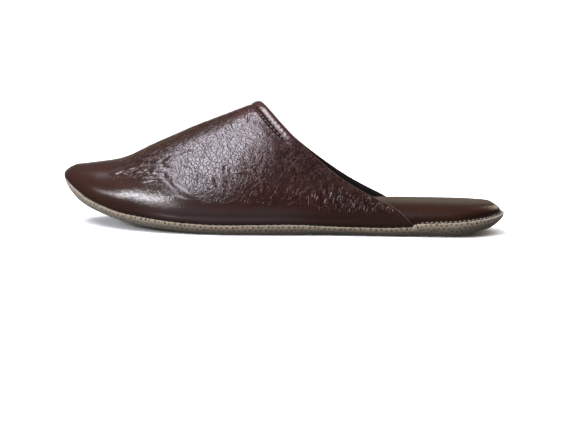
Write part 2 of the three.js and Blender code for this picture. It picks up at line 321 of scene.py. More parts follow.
# How finely the pieces are made, and how far the vamp's rows crowd at both ends rather than at the toe
UPPER_ROWS = 264
UPPER_COLUMNS = 240
INSIDE_EVERY = 3
BOTH_WAYS = 0.55
ROLL_ANGLES = (25, 50, 72)
LINING_GRID = (96, 96)
LINING_ROLL_ANGLES = (40, 75)
SOLE_STATIONS = (56, 250, 100)
RIM_POINTS = 12
LEVEL_POINTS = 9
LIP_ANGLES = (30, 60, 90, 120, 150)
PAD_POINTS = 26
EDGE_POINTS = 161
SEAM_POINTS = 90
CREASE_TURNS = 200
HEM_POINTS = 400
HEEL_POINTS = 160
PLAN_POINTS = (4001, 81)
STITCH_STEPS = 9
STITCH_SIDES = 8
PROBE = 0.02
HALVINGS = 40
SAME_PLACE = 1e-6

# The suede's top edge: its rise over the wall, how much of that the stitches draw down, and their pitch
LIP_RISE = 0.3
LIP_WAVE = 0.4
LIP_PITCH = 4.1

# The notch in that edge at the collar's corner: where it is, how high it stands and how fast it rises
NOTCH_AT = 60.3
NOTCH_RISE = 1.3
NOTCH_RUN = 4.5
NOTCH_DROP = 0.5

# Unevenness of the sole, which fades to its bottom and its ends: height, cell size and seed of its noises
SOLE_NOISES = ((0.12, 9, 61), (0.06, 3, 62))
SOLE_NOISE_ABOVE = (0.3, 2.5)
SOLE_NOISE_TOE = 12
SOLE_NOISE_HEEL = 8

# The pad's hollows, and its puckers: height, place and width across it, and pitch. They fade at the heel.
PAD_NOISE = (0.12, (26, 20, 30), 71)
PAD_PUCKERS = (0.05, 0.16, 0.12)
PAD_PUCKER_PITCH = 5.8
PAD_FADE = (3, 12)

# Stitches: length and radius, how far the middle rises and the ends dip in radii, and what is left at a tip.
# The hem's lie in its groove, the heel's on the suede's lip, leaning out.
HEM_STITCH = (1.7, 0.34)
HEEL_STITCH = (1.9, 0.34)
STITCH_ARCH = (0.55, 1.5)
STITCH_TIP = 0.02
HEM_STITCH_GAP = HEM_WIDTH + 0.5
HEM_STITCH_SINK = 0.42
HEM_STITCH_DEEPER = 0.16
HEM_STITCH_FADE = 14
HEM_SEARCH = 6 * HEM_WIDTH
HEM_TURNS = 0.96
HEEL_STITCH_REACH = NOTCH_AT - 1
HEEL_STITCH_RISE = 0.55
HEEL_STITCH_INSET = 1.9
HEEL_STITCH_LEAN = (0.6, 0.6, 0)
HEEL_STITCH_UP = (0, 0, 0.8)
UP = np.array((0, 0, 1.0))


def curve_through(x, y):
    """A smooth curve through points: cubic pieces whose slope is the harmonic mean of the two neighbours'
    rises, or level where they change sign, so that it never overshoots."""
    x = np.asarray(x, float)
    y = np.asarray(y, float)
    rise = np.diff(y) / np.diff(x)
    before = np.concatenate((rise[:1], rise))
    after = np.concatenate((rise, rise[-1:]))
    same_way = before * after > 0
    slope = np.where(same_way, 2 * before * after / np.where(same_way, before + after, 1), 0)

    def at(place):
        place = np.clip(place, x[0], x[-1])
        i = np.clip(np.searchsorted(x, place, "right") - 1, 0, len(x) - 2)
        run = x[i + 1] - x[i]
        t = (place - x[i]) / run
        left = (1 + 2 * t) * (1 - t) ** 2 * y[i] + t * (1 - t) ** 2 * run * slope[i]
        return left + t * t * (3 - 2 * t) * y[i + 1] + t * t * (t - 1) * run * slope[i + 1]

    return at


def curves_of(columns, rows):
    """Every column of a table as a curve over the length, by its name."""
    table = np.array(rows, float).T
    return {name: curve_through(table[0] * LENGTH, column) for name, column in zip(columns[1:], table[1:])}


sole = curves_of(SOLE_COLUMNS, SOLE)
vamp = curves_of(VAMP_COLUMNS, VAMP)
pad = curves_of(PAD_COLUMNS, PAD)
collar = curves_of(COLLAR_COLUMNS, COLLAR)


def round_end(distance, reach):
    """A quarter round: 0 at an end, 1 from the given reach inwards."""
    t = np.clip(distance / reach, 0, 1)
    return np.sqrt(1 - (1 - t) ** 2)


def bezier(t, start, leave, arrive, end):
    """The cubic that leaves its start and arrives at its end along the lines to the two inner points."""
    s = 1 - t
    return s**3 * start + 3 * s * s * t * leave + 3 * s * t * t * arrive + t**3 * end


def seam_half_width(x):
    """Half width of the plan at the seam, a tabled width rounded off at heel and toe."""
    plan = round_end(x, HEEL_PLAN_ROUND) * round_end(LENGTH - x, TOE_PLAN_ROUND)
    return BALL_WIDTH / 2 * sole["half"](x) * plan


def upper_skin(x, v):
    """Outer skin of the vamp: each section is two cubics from the seams, v of 1 and -1, to the ridge at 0."""
    half = seam_half_width(x)
    toe = round_end(LENGTH - x, TOE_CROWN_ROUND)
    base = sole["seam"](x) + SEAM_GAP
    rise = (INSTEP_HEIGHT * vamp["crown"](x) - base) * toe
    t = 1 - np.abs(v)
    out = bezier(t, half, half + vamp["bulge"](x) * toe, half * vamp["crest"](x), 0)
    up = bezier(t, 0, rise * vamp["flank"](x), rise, rise)
    return np.stack(np.broadcast_arrays(x, sole["swing"](x) + np.sign(v) * out, base + up), -1)


def sole_skin(x, v, top=sole["seam"]):
    """Outer skin of the sole: from each seam the edge rolls under along a cubic, and the rest is level."""
    half = seam_half_width(x)
    seam = top(x)
    ends = round_end(x, HEEL_UNDER_ROUND) * round_end(LENGTH - x, TOE_UNDER_ROUND)
    drop = (seam - sole["under"](x)) * ends
    tuck = np.minimum(sole["tuck"](x), half * MOST_TUCK)
    rolled = np.minimum((1 - np.abs(v)) / ROLL_SHARE, 1)
    level = np.minimum(np.abs(v) / (1 - ROLL_SHARE), 1)
    out = level * bezier(rolled, half, half + EDGE_SWELL * drop, half - tuck * ROLL_TIGHTNESS, half - tuck)
    down = bezier(rolled, 0, drop * EDGE_UPRIGHT, drop, drop)
    return np.stack(np.broadcast_arrays(x, sole["swing"](x) + np.sign(v) * out, seam - down), -1)


def unit(vectors):
    """Vectors scaled to length one."""
    return vectors / np.maximum(np.linalg.norm(vectors, axis=-1, keepdims=True), 1e-12)


def outward(skin, side, x, v):
    """Direction out of a skin: the cross product of small steps along x and v, and lengthways at the tips."""
    at = np.clip(x, 2 * PROBE, LENGTH - 2 * PROBE)
    turn = np.clip(v, PROBE - 1, 1 - PROBE)
    along_x = skin(at + PROBE, turn) - skin(at - PROBE, turn)
    along_v = skin(at, turn + PROBE) - skin(at, turn - PROBE)
    normal = side * unit(np.cross(along_x, along_v))
    tip = (np.asarray(x) <= 0) | (np.asarray(x) >= LENGTH)
    lengthways = np.zeros_like(normal)
    lengthways[..., 0] = np.sign(np.asarray(x) - LENGTH / 2)
    return np.where(np.broadcast_to(tip, normal.shape[:-1])[..., None], lengthways, normal)


def turning_point(low, high, holds):
    """Where a test that holds near low stops holding on the way to high, by halving the interval."""
    for _ in range(HALVINGS):
        middle = (low + high) / 2
        still = holds(middle)
        low = np.where(still, middle, low)
        high = np.where(still, high, middle)
    return low


def collar_cut(v, lowered):
    """Where the collar, lowered a little, cuts each line of constant v.

    The collar stands higher on the outer side, by one hump of a sine from the ridge towards the foot."""
    lean = COLLAR_LEAN * np.sin(np.pi * np.clip(np.asarray(v, float) / LEAN_REACH, 0, 1))
    low = np.full(np.shape(v), STEP_BACK * LENGTH)
    high = np.full(np.shape(v), COLLAR[-1][0] * LENGTH)

    def above(x):
        return upper_skin(x, v)[..., 2] > INSTEP_HEIGHT * collar["rise"](x) - lowered + lean

    return turning_point(low, high, above)


def way_along(line):
    """How far each point of a line of straight stretches lies along it."""
    return np.concatenate(([0], np.cumsum(np.linalg.norm(np.diff(line, axis=0), axis=1))))


def distance_to_line(points, line):
    """Distance from each point to a line of straight stretches, and how far along it the nearest spot is."""
    best = np.full(points.shape[:-1], np.inf)
    along = np.zeros(points.shape[:-1])
    for start, end, passed in zip(line[:-1], line[1:], way_along(line)):
        length = np.linalg.norm(end - start)
        step = (end - start) / length
        t = np.clip((points - start) @ step, 0, length)
        gap = np.linalg.norm(points - start - t[..., None] * step, axis=-1)
        nearer = gap < best
        best = np.where(nearer, gap, best)
        along = np.where(nearer, passed + t, along)
    return best, along


def lattice_noise(points, size, seed):
    """Smooth noise from -1 to 1: random values on a lattice of the given cell size, blended between corners.

    Each corner's value is a hash of its place and of the seed."""
    place = points / np.asarray(size, float)
    cell = np.floor(place).astype(np.int64)
    f = place - cell
    weight = f**3 * (f * (6 * f - 15) + 10)
    total = np.zeros(points.shape[:-1])
    for corner in np.ndindex(2, 2, 2):
        key = (cell + corner) @ np.array((374761393, 668265263, 2147483629)) + seed * 1274126177
        key = (key ^ (key >> 13)) * 1274126177 & 0xFFFFFFFF
        value = (key ^ (key >> 16)) / 0xFFFFFFFF * 2 - 1
        share = np.where(corner, weight, 1 - weight).prod(-1)
        total += value * share
    return total


def scaled_noise(points, height, size, seed):
    """Smooth noise of a height, from a table's row."""
    return height * lattice_noise(points, size, seed)


def bump(distance, width):
    """A soft bell, 1 at no distance and fading over the width."""
    return np.exp(-((distance / width) ** 2))


def ramp(value, low, high):
    """0 below low, 1 above high, smooth between."""
    t = np.clip((value - low) / (high - low), 0, 1)
    return t * t * (3 - 2 * t)


def stretch(value, fade_in, full, fade_out, gone):
    """1 along a stretch, with smooth ramps up to it and down from it."""
    return ramp(value, fade_in, full) * (1 - ramp(value, fade_out, gone))


def form(distance, height, at, width):
    """A low form along an edge: a bell of a height at a distance from the edge."""
    return height * bump(distance - at, width)


def vamp_line(side, places):
    """Points on one side of the vamp at given distances from the heel and heights above the floor."""
    turns = np.linspace(1, PROBE, CREASE_TURNS)
    found = []
    for x, height in places:
        section = upper_skin(np.full_like(turns, x), side * turns)
        found.append(upper_skin(np.array(x), side * np.interp(height, section[:, 2], turns)))
    return np.array(found)


def crease_relief(points):
    """Sum over the creases: a trough across each, with a low ridge on both sides, fading at its ends."""
    total = np.zeros(points.shape[:-1])
    t = np.linspace(0, 1, CREASE_STEPS)[:, None]
    for side, shift, share in ((1, 0, 1), (-1, INNER_SHIFT, INNER_SHARE)):
        for start, middle, end, width, depth in CREASES:
            ends = np.array((start, middle, end), float) + (shift, 0)
            bend = 2 * ends[1] - (ends[0] + ends[2]) / 2
            path = (1 - t) ** 2 * ends[0] + 2 * t * (1 - t) * bend + t * t * ends[2]
            line = vamp_line(side, path)
            gap, along = distance_to_line(points, line)
            length = way_along(line)[-1]
            fade = ramp(along, CREASE_START, CREASE_FADE_IN * length)
            fade *= ramp(length - along, CREASE_START, CREASE_FADE_OUT * length)
            across = gap / width
            total -= share * depth * fade * (1 - CREASE_RIDGE * across**2) * np.exp(-(across**2))
    return total


def squared(direction, normal):
    """Unit directions turned square to a normal."""
    return unit(direction - (direction * normal).sum(-1, keepdims=True) * normal)


def ring_faces(rings, count):
    """Four cornered faces between neighbouring rings of equal length, each ring closed on itself."""
    ring = np.arange(rings - 1)[:, None] * count
    k = np.arange(count)[None, :]
    after = (k + 1) % count
    corners = np.stack((ring + k, ring + count + k, ring + count + after, ring + after), -1)
    return corners.reshape(-1, 4).tolist()


def make_piece(name, points, faces, material, replaced=None):
    """A smooth mesh object in the slipper's place from points in millimetres, riding on the root."""
    mesh = bpy.data.meshes.new(name)
    mesh.from_pydata((points - ORIGIN) * MM, [], faces)
    mesh.polygons.foreach_set("use_smooth", np.ones(len(mesh.polygons), bool))
    mesh.materials.append(material)
    piece = bpy.data.objects.new(name, mesh)
    bpy.context.scene.collection.objects.link(piece)
    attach(piece, "root")
    if replaced:
        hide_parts(replaced)
    return piece


def keep_values(piece, name, values):
    """Stores a number for each point of a piece, for its material to read."""
    attribute = piece.data.attributes.new(name, "FLOAT", "POINT")
    attribute.data.foreach_set("value", np.asarray(values, np.float32).ravel())


def merge_tips(piece):
    """Joins the points that lie on each other where rings shrink to a tip."""
    edit = bmesh.new()
    edit.from_mesh(piece.data)
    bmesh.ops.remove_doubles(edit, verts=edit.verts, dist=SAME_PLACE)
    edit.to_mesh(piece.data)
    edit.free()
    piece.data.update()


def side_shift():
    """How far the solids' middle lies to the outer side of the heel's centre line."""
    along, across = PLAN_POINTS
    x = np.linspace(0, LENGTH, along)
    edge = sole_skin(x[:, None], np.linspace(-1, 1, across)[None, :])[..., 1]
    low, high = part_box("outsole")
    return (edge.max() + edge.min()) / 2 - (low.y + high.y) / 2 / MM


ORIGIN = np.array((LENGTH / 2, side_shift(), 0))


class Value:
    """A number, colour or direction on a shader socket. Arithmetic on it adds Math nodes to its tree."""

    def __init__(self, shader, socket):
        self.shader = shader
        self.socket = socket

    def join(self, operation, *numbers):
        return self.shader.node("ShaderNodeMath", {"operation": operation}, dict(enumerate(numbers)))

    def __add__(self, other):
        return self.join("ADD", self, other)

    def __sub__(self, other):
        return self.join("SUBTRACT", self, other)

    def __rsub__(self, other):
        return self.join("SUBTRACT", other, self)

    def __mul__(self, other):
        return self.join("MULTIPLY", self, other)

    def __truediv__(self, other):
        return self.join("DIVIDE", self, other)

    def __rtruediv__(self, other):
        return self.join("DIVIDE", other, self)

    def __pow__(self, other):
        return self.join("POWER", self, other)

    def __abs__(self):
        return self.join("ABSOLUTE", self)

    def __floor__(self):
        return self.join("FLOOR", self)

    __radd__ = __add__
    __rmul__ = __mul__

    def ramp(self, low, high):
        """0 below low, 1 above high, smooth between. With low above high it falls instead."""
        sockets = {"Value": self, "From Min": low, "From Max": high}
        return self.shader.node("ShaderNodeMapRange", {"interpolation_type": "SMOOTHSTEP"}, sockets)


class Shader:
    """A material's nodes."""

    def __init__(self, name):
        self.material = bpy.data.materials.new(name)
        self.material.use_nodes = True
        self.tree = self.material.node_tree
        self.tree.nodes.clear()

    def node(self, kind, settings, sockets, output=0):
        """Adds a node with its settings, then sets or links its sockets, given by name or number."""
        node = self.tree.nodes.new(kind)
        for name, value in settings.items():
            setattr(node, name, value)
        for key, value in sockets.items():
            if isinstance(value, Value):
                self.tree.links.new(value.socket, node.inputs[key])
            else:
                node.inputs[key].default_value = value
        return Value(self, node.outputs[output]) if node.outputs else None

    def attribute(self, name):
        """A number stored on the piece's points."""
        return self.node("ShaderNodeAttribute", {"attribute_name": name}, {}, "Fac")

    def place(self, size, lean=0.0):
        """Object coordinates divided by a size in millimetres, the same or one for each axis.

        The pattern leans forwards by an angle about the axis across the shoe."""
        spot = self.node("ShaderNodeTexCoord", {}, {}, "Object")
        sockets = {"Vector": spot, "Rotation": (0.0, lean, 0.0), "Scale": MM * np.broadcast_to(size, 3)}
        return self.node("ShaderNodeMapping", {"vector_type": "TEXTURE"}, sockets)

    def noise(self, size, detail=2.0, distortion=0.0):
        """Cloudy noise around 0.5 with features of the given size."""
        sockets = {"Vector": self.place(size), "Scale": 1.0, "Detail": detail, "Distortion": distortion}
        return self.node("ShaderNodeTexNoise", {}, sockets)

    def cells(self, size, wander, lean=0.0):
        """Irregular cells: the distance to the nearest edge in shares of the size. Noise bends the edges."""
        spot = self.place(size, lean)
        drift = self.node("ShaderNodeTexNoise", {}, {"Vector": spot, "Scale": 0.8, "Detail": 1.0}, "Color")
        sockets = {0: drift, 1: (wander, wander, wander), 2: spot}
        bent = self.node("ShaderNodeVectorMath", {"operation": "MULTIPLY_ADD"}, sockets)
        settings = {"feature": "DISTANCE_TO_EDGE"}
        return self.node("ShaderNodeTexVoronoi", settings, {"Vector": bent, "Scale": 1.0}, "Distance")

    def mix(self, share, first, second):
        """The first colour where share is 0 and the second where it is 1."""
        return self.node("ShaderNodeMix", {"data_type": "RGBA"}, {0: share, 6: first, 7: second}, 2)

    def bump(self, height, millimetres):
        """A normal bent by a height, given in shares of a depth in millimetres."""
        sockets = {"Height": height, "Distance": millimetres * MM, "Strength": 1.0}
        return self.node("ShaderNodeBump", {}, sockets)

    def surface(self, sockets):
        """A principled surface from values for its sockets."""
        return self.node("ShaderNodeBsdfPrincipled", {}, sockets)

    def blend(self, share, first, second):
        """The first surface where share is 0 and the second where it is 1."""
        return self.node("ShaderNodeMixShader", {}, {0: share, 1: first, 2: second})

    def finish(self, surface):
        """The material that shows a surface."""
        self.node("ShaderNodeOutputMaterial", {}, {"Surface": surface})
        return self.material


def colour(value):
    """A property's colour with full opacity."""
    return (*value, 1.0)


def darker(value, share):
    """A colour scaled down."""
    return (*(channel * share for channel in value), 1.0)


# Cells of the leather's finest crinkle: size along x, y and z, how far noise bends their edges, and a lean
ROUND_CELLS = ((1.9, 2.1, 2.1), 1.4)
TALL_CELLS = ((1.6, 5.5, 5.5), 0.9)
LONG_CELLS = ((13.0, 2.0, 2.0), 0.5, math.radians(15))
NET_CELLS = ((2.0, 2.6, 2.6), 1.8)
FOLD_SIZE = (4.4, 5.6, 5.6)

# How high cells, folds and grain stand, in shares of the crinkle's depth, and how wide a flank is, in shares
# of a cell or, for folds, in values of their noise
ROUND_HEIGHT = 0.17
MATT_HEIGHT = 0.4
TALL_HEIGHT = 0.75
LONG_HEIGHT = 0.6
FOLD_HEIGHT = 0.25
GRAIN_HEIGHT = 0.06
ROUND_FLANK = 0.15
TALL_FLANK = 0.3
FOLD_FLANK = 0.05

# The lines of painted shade, from faint outer edge to full middle, in the same measures
LINE = (0.1, 0.02)
NET_LINE = (0.13, 0.02)
FOLD_LINE = (0.025, 0.004)
FOLD_DARKNESS = 0.35

# How much of the glaze is gone where the leather is matt
MATT_SHARE = 0.8


def towards(first, second, share):
    """A number that goes from the first to the second as share goes from 0 to 1."""
    return first + (second - first) * share


def crinkle_cells(s, matt, upright):
    """How high the crinkle's cells stand, and the wrinkle lines between them, where shade is painted.

    The cells are round on the side, upright towards the collar's foot and lengthways above the toe. Slow
    folds, where noise crosses its middle, run through them."""
    lengthways = s.attribute("lengthways")
    round_edge = s.cells(*ROUND_CELLS)
    tall_edge = s.cells(*TALL_CELLS)
    long_edge = s.cells(*LONG_CELLS)
    fold_edge = abs(s.noise(FOLD_SIZE, 1.0, 0.5) - 0.5)
    height = round_edge.ramp(0.0, ROUND_FLANK) * (ROUND_HEIGHT + matt * MATT_HEIGHT)
    height = towards(height, tall_edge.ramp(0.0, TALL_FLANK) * TALL_HEIGHT, upright)
    height = towards(height, long_edge.ramp(0.0, TALL_FLANK) * LONG_HEIGHT, lengthways)
    height = height + fold_edge.ramp(0.0, FOLD_FLANK) * FOLD_HEIGHT
    width, core = LINE
    lines = round_edge.ramp(width + matt * width, core)
    lines = towards(lines, tall_edge.ramp(*LINE), upright)
    lines = towards(lines, long_edge.ramp(*LINE), lengthways)
    lines = lines * (0.5 + matt * 0.5) + fold_edge.ramp(*FOLD_LINE) * FOLD_DARKNESS
    return height, lines


def hem_holes(s, look):
    """Round holes that the hem's stitches pull into the leather, one in the middle of each stitch.

    The material fills them with painted shade.
    """
    stitch = s.attribute("hem_way") / look.hem_pitch
    beside = (stitch - math.floor(stitch) - 0.5) * look.hem_pitch
    off_line = s.attribute("hem_gap") - HOLE_GAP
    return (beside * beside + off_line * off_line).ramp(HOLE_RADIUS**2, 0.0) * s.attribute("hem_sewn")


def glazed_leather(look):
    """Dark glazed leather with a fine crinkle, whose wrinkles are bare and darkened as painted shade.

    The leather is redder towards the collar's foot, and greyer in the smooth strip above the seam as a
    painted sheen. Creases have painted shade at the bottom and raised folds are rubbed paler. Under the
    collar it is nearly matt and darkened as painted shade, with a net of pale lines above and pale upright
    strokes below, both painted highlights. Stitch holes hold painted shade and the rolled edge a painted
    highlight."""
    s = Shader("glazed_leather")
    crinkled = s.attribute("crinkle")
    relief = s.attribute("relief")
    upright = s.attribute("upright")
    matt = s.attribute("matt")
    height, lines = crinkle_cells(s, matt, upright)
    valleys = lines * crinkled
    hole = hem_holes(s, look)
    clouds = s.noise((30, 22, 22), 3.0).ramp(0.35, 0.65) * s.attribute("warmth")
    # The matt zone away from the upright strokes, darkened as painted shade and carrying the painted net
    painted_shade_and_net_zone = matt * (1 - upright)
    # A patchy net of pale lines, painted highlights on the matt leather
    patches = s.noise((3.5, 4.5, 4.5), 2.0).ramp(0.34, 0.62)
    net = s.cells(*NET_CELLS).ramp(*NET_LINE) * patches * painted_shade_and_net_zone
    # Pale upright strokes, painted highlights where wrinkle facets would catch the light
    strokes = s.noise((1.3, 3.6, 3.6), 3.0).ramp(0.54, 0.66) * upright * crinkled
    layers = (
        (clouds, colour(look.leather_red)),
        # Painted sheen: a greyish tint on the smooth strip above the seam stands in for a reflection
        (s.attribute("strip") * 0.5, colour(look.leather_strip_sheen)),
        (relief.ramp(0.05, 0.6) * 0.2, colour(look.rubbed_and_highlit_leather)),
        # Painted shade at the bottom of the creases
        (relief.ramp(-0.05, -0.7) * 0.35, darker(look.leather, 0.3)),
        # Painted shade: the zone under the collar is darkened
        (painted_shade_and_net_zone * 0.6, darker(look.leather, 0.3)),
        # Painted highlights: pale net lines and upright strokes under the collar
        (net * 0.9 + strokes * 0.6, colour(look.rubbed_and_highlit_leather)),
        # Painted shade in the crinkle's wrinkle lines
        (valleys * (1 - matt) * 0.8, darker(look.leather, 0.25)),
        # Painted shade in the stitch holes
        (hole, darker(look.leather, 0.1)),
        # Painted highlight along the collar's rolled edge
        (s.attribute("rim_highlight"), colour(look.leather_edge_highlight)),
    )
    tint = colour(look.leather)
    for share, layer in layers:
        tint = s.mix(share, tint, layer)
    grain = s.noise(0.55, 2.0) * GRAIN_HEIGHT
    bent = s.bump(height * crinkled + grain - hole, look.crinkle_depth)
    glazed = s.surface({"Base Color": tint, "Roughness": 0.2, "Normal": bent, "Specular IOR Level": 0.55})
    bare = s.surface({"Base Color": tint, "Roughness": 0.8, "Normal": bent, "Specular IOR Level": 0.05})
    worn = 1 - (1 - valleys) * (1 - hole) * (1 - matt * MATT_SHARE)
    return s.finish(s.blend(worn, glazed, bare))


def pad_leather(look):
    """The insole's smooth cover: satin brown leather with a faint grain."""
    s = Shader("pad_leather")
    clouds = s.noise((34, 24, 12), 3.0).ramp(0.4, 0.68)
    tint = s.mix(clouds, colour(look.pad), colour(look.pad_light))
    pores = s.noise(0.6, 2.0)
    grain = abs(s.noise(1.3, 1.0) - 0.5).ramp(0.0, 0.16)
    rough = 0.24 + s.noise(7, 3.0) * 0.08
    bent = s.bump(grain * 0.7 + pores * 0.5, 0.025)
    surface = {"Base Color": tint, "Roughness": rough, "Normal": bent}
    return s.finish(s.surface({**surface, "Specular IOR Level": 0.3}))


# The suede's pores: how far they stray along and across their row, in shares of a cell, their radius from the
# faint edge to the full middle, how dark the faintest is, and the factor whose fraction is a second chance
PORE_STRAY = (0.36, 0.4)
PORE_RADIUS = (0.9, 0.4)
LEAST_PORE = 0.55
SECOND_DRAW = 7.3


def suede(look):
    """Beige suede: fine nap, cloudy shade and small dark pores in staggered rows along the edge.

    The pores are dots in the cells of a grid over the way along the seam and down from it, shifted by half a
    cell from row to row and at random inside each cell."""
    s = Shader("suede")
    down = s.attribute("down") / look.pore_rows
    row = math.floor(down)
    along = s.attribute("along") / look.pore_pitch + row * 0.5
    column = math.floor(along)
    cell = s.node("ShaderNodeCombineXYZ", {}, {"X": column, "Y": row})
    chance = s.node("ShaderNodeTexWhiteNoise", {"noise_dimensions": "2D"}, {"Vector": cell}, "Value")
    other_chance = chance * SECOND_DRAW - math.floor(chance * SECOND_DRAW)
    across = (along - column - 0.5 + (chance - 0.5) * PORE_STRAY[0]) * look.pore_pitch
    height = (down - row - 0.5 + (other_chance - 0.5) * PORE_STRAY[1]) * look.pore_rows
    reach = (across * across + height * height) ** 0.5
    pore = reach.ramp(*PORE_RADIUS) * (LEAST_PORE + chance * (1 - LEAST_PORE))
    nap = s.noise(0.5, 3.0)
    shade = s.noise((16, 12, 7), 4.0)
    tint = s.mix(shade.ramp(0.35, 0.7), colour(look.suede), colour(look.suede_light))
    tint = s.mix(nap.ramp(0.35, 0.62) * 0.4, tint, darker(look.suede, 0.62))
    tint = s.mix(pore * 0.95, tint, colour(look.pore))
    bent = s.bump(nap * 0.35 + s.noise(1.4, 3.0) * 0.5 - pore * 0.9, 0.35)
    surface = {"Base Color": tint, "Roughness": 0.95, "Normal": bent}
    return s.finish(s.surface({**surface, "Sheen Weight": 0.25, "Specular IOR Level": 0.15}))


def lining_cloth(look):
    """Black lining: matt cloth with a fine rough weave, drawn by noise."""
    s = Shader("lining_cloth")
    weave = s.noise(0.5, 1.0)
    tint = s.mix(s.noise(6, 3.0).ramp(0.35, 0.7), darker(look.lining, 0.6), colour(look.lining))
    surface = {"Base Color": tint, "Roughness": 0.9, "Normal": s.bump(weave, 0.15)}
    return s.finish(s.surface({**surface, "Specular IOR Level": 0.2}))


def thread(name, tone):
    """Matt thread with fine pale and dark strands, drawn by noise."""
    s = Shader(name)
    strand = s.noise(0.25, 1.0)
    tint = s.mix(strand.ramp(0.3, 0.7), darker(tone, 0.6), colour(tone))
    return s.finish(s.surface({"Base Color": tint, "Roughness": 0.8, "Normal": s.bump(strand, 0.06)}))


def plain_floor(look):
    """The pale floor, even and matt."""
    s = Shader("pale_floor")
    tint = s.mix(s.noise(900, 2.0), colour(look.floor), darker(look.floor, 0.985))
    return s.finish(s.surface({"Base Color": tint, "Roughness": 0.9, "Specular IOR Level": 0.1}))


def hem_relief(place, z, v, depth):
    """The turned hem: a puffed band along the collar with a stitched groove under it, beads and puckers.

    It is full near the peak and fades down the sides. The beads are strongest at its lower ends."""
    to_collar, along_collar = place["collar"]
    near_peak = ramp(z, HEM_LOW, HEM_LOW + HEM_FADE)
    sewn = near_peak * ramp(np.abs(v), *OFF_RIDGE)
    beaded = sewn * (1 - BEADS_LOSS * ramp(z, *BEADS_FADE))
    pucker = np.cos(2 * np.pi * along_collar / depth["pitch"] + np.pi)
    across = (to_collar - 0.5 * HEM_WIDTH) / (HEM_SPREAD * HEM_WIDTH)
    share = LEAST_PUFF + (1 - LEAST_PUFF) * near_peak
    puff = depth["hem"] * share * np.clip(1 - across**2, 0, 1) ** HEM_ROUND
    hem = puff - form(to_collar, *EDGE_TUCK)
    hem -= near_peak * (1 - ramp(z, *DIP_FADE)) * form(to_collar, *HEM_DIP)
    hem += beaded * pucker * form(to_collar, *HEM_BEADS)
    hem -= form(to_collar, *FAINT_GROOVE) + sewn * form(to_collar, *HEM_GROOVE)
    hem -= sewn * pucker * form(to_collar, *HEM_PUCKERS)
    return hem


def seam_relief(points, to_seam):
    """The wall's turn in to the seam, a low ridge above it, and a wandering fold along the waist."""
    depth, height, width = WAIST_FOLD
    height = height + scaled_noise(points, *FOLD_NOISE)
    fold = stretch(points[..., 0], *WAIST) * form(to_seam, depth, height, width)
    return form(to_seam, *SEAM_RIDGE) - form(to_seam, *SEAM_TUCK) - fold


def crinkle_share(points, to_seam, smooth_toe):
    """How crinkled the leather is: little on the toe and above the seam, and less in two calm places."""
    x = points[..., 0]
    z = points[..., 2]
    strip = STRIP_HEIGHT + scaled_noise(points, *STRIP_NOISE)
    for growth, start, end in STRIP_GROWTH:
        strip = strip + growth * ramp(x, start, end)
    above_strip = ramp(to_seam, strip, strip + STRIP_EDGE)
    calm = 1 - BACK_CALM * ramp(z, *BACK_CALM_ABOVE) * (1 - ramp(x, *BACK_CALM_BEHIND))
    off = (points[..., ::2] - BALL_CALM_AT) / BALL_CALM_REACH
    calm *= 1 - BALL_CALM * bump(np.linalg.norm(off, axis=-1), 1)
    toe_band = TOE_CRINKLE * stretch(x, *TOE_BAND) * ramp(to_seam, *TOE_CRINKLE_ABOVE_SEAM)
    return np.clip(np.maximum(smooth_toe * above_strip * calm, toe_band), LEAST_CRINKLE, 1)


def wrinkle_relief(points):
    """Fine wrinkles: troughs where an upright or a level noise crosses zero, over a smaller noise."""
    bent = points + BEND * np.stack([lattice_noise(points, BEND_SIZE, seed) for seed in BEND_SEEDS], -1)
    wrinkles = scaled_noise(bent, *WRINKLE_NOISE)
    for depth, size, seed, width in TROUGHS:
        wrinkles -= depth * bump(lattice_noise(bent, size, seed), width)
    return wrinkles


def leather_relief(points, place, v, depth):
    """Height of the vamp's leather over its plain skin, in millimetres, and how crinkled it is.

    It is a sum: the hem, the turn in to the seam, the placed creases, fine wrinkles and a slow unevenness.
    All but the hem fade towards the toe's tip, and the last three keep clear of the hem and the seam."""
    to_collar = place["collar"][0]
    to_seam = place["seam"]
    x = points[..., 0]
    z = points[..., 2]
    hem_end = HEM_START + ramp(z, HEM_LOW, HEM_LOW + HEM_FADE) * (HEM_WIDTH - HEM_START)
    inside = ramp(to_collar, hem_end, hem_end + CLEAR_OF_HEM) * ramp(to_seam, *CLEAR_OF_SEAM)
    smooth_toe = 1 - ramp(x + TOE_SLANT * (z - SLANT_LEVEL), *TOE_SMOOTH)
    crinkle = crinkle_share(points, to_seam, smooth_toe)
    creases = depth["crease"] * crease_relief(points) * ramp(to_seam, *CREASES_CLEAR_OF_SEAM)
    creases = creases * ramp(to_collar, *CREASES_CLEAR_OF_HEM)
    wrinkles = depth["wrinkle"] * wrinkle_relief(points) * crinkle
    slow = sum(scaled_noise(points, *noise) for noise in SLOW_NOISES)
    low_forms = inside * (creases + wrinkles + slow * smooth_toe)
    tip = ramp(LENGTH - x, *TIP_FADE)
    relief = hem_relief(place, z, v, depth) + tip * (seam_relief(points, to_seam) + low_forms)
    return relief, crinkle * inside


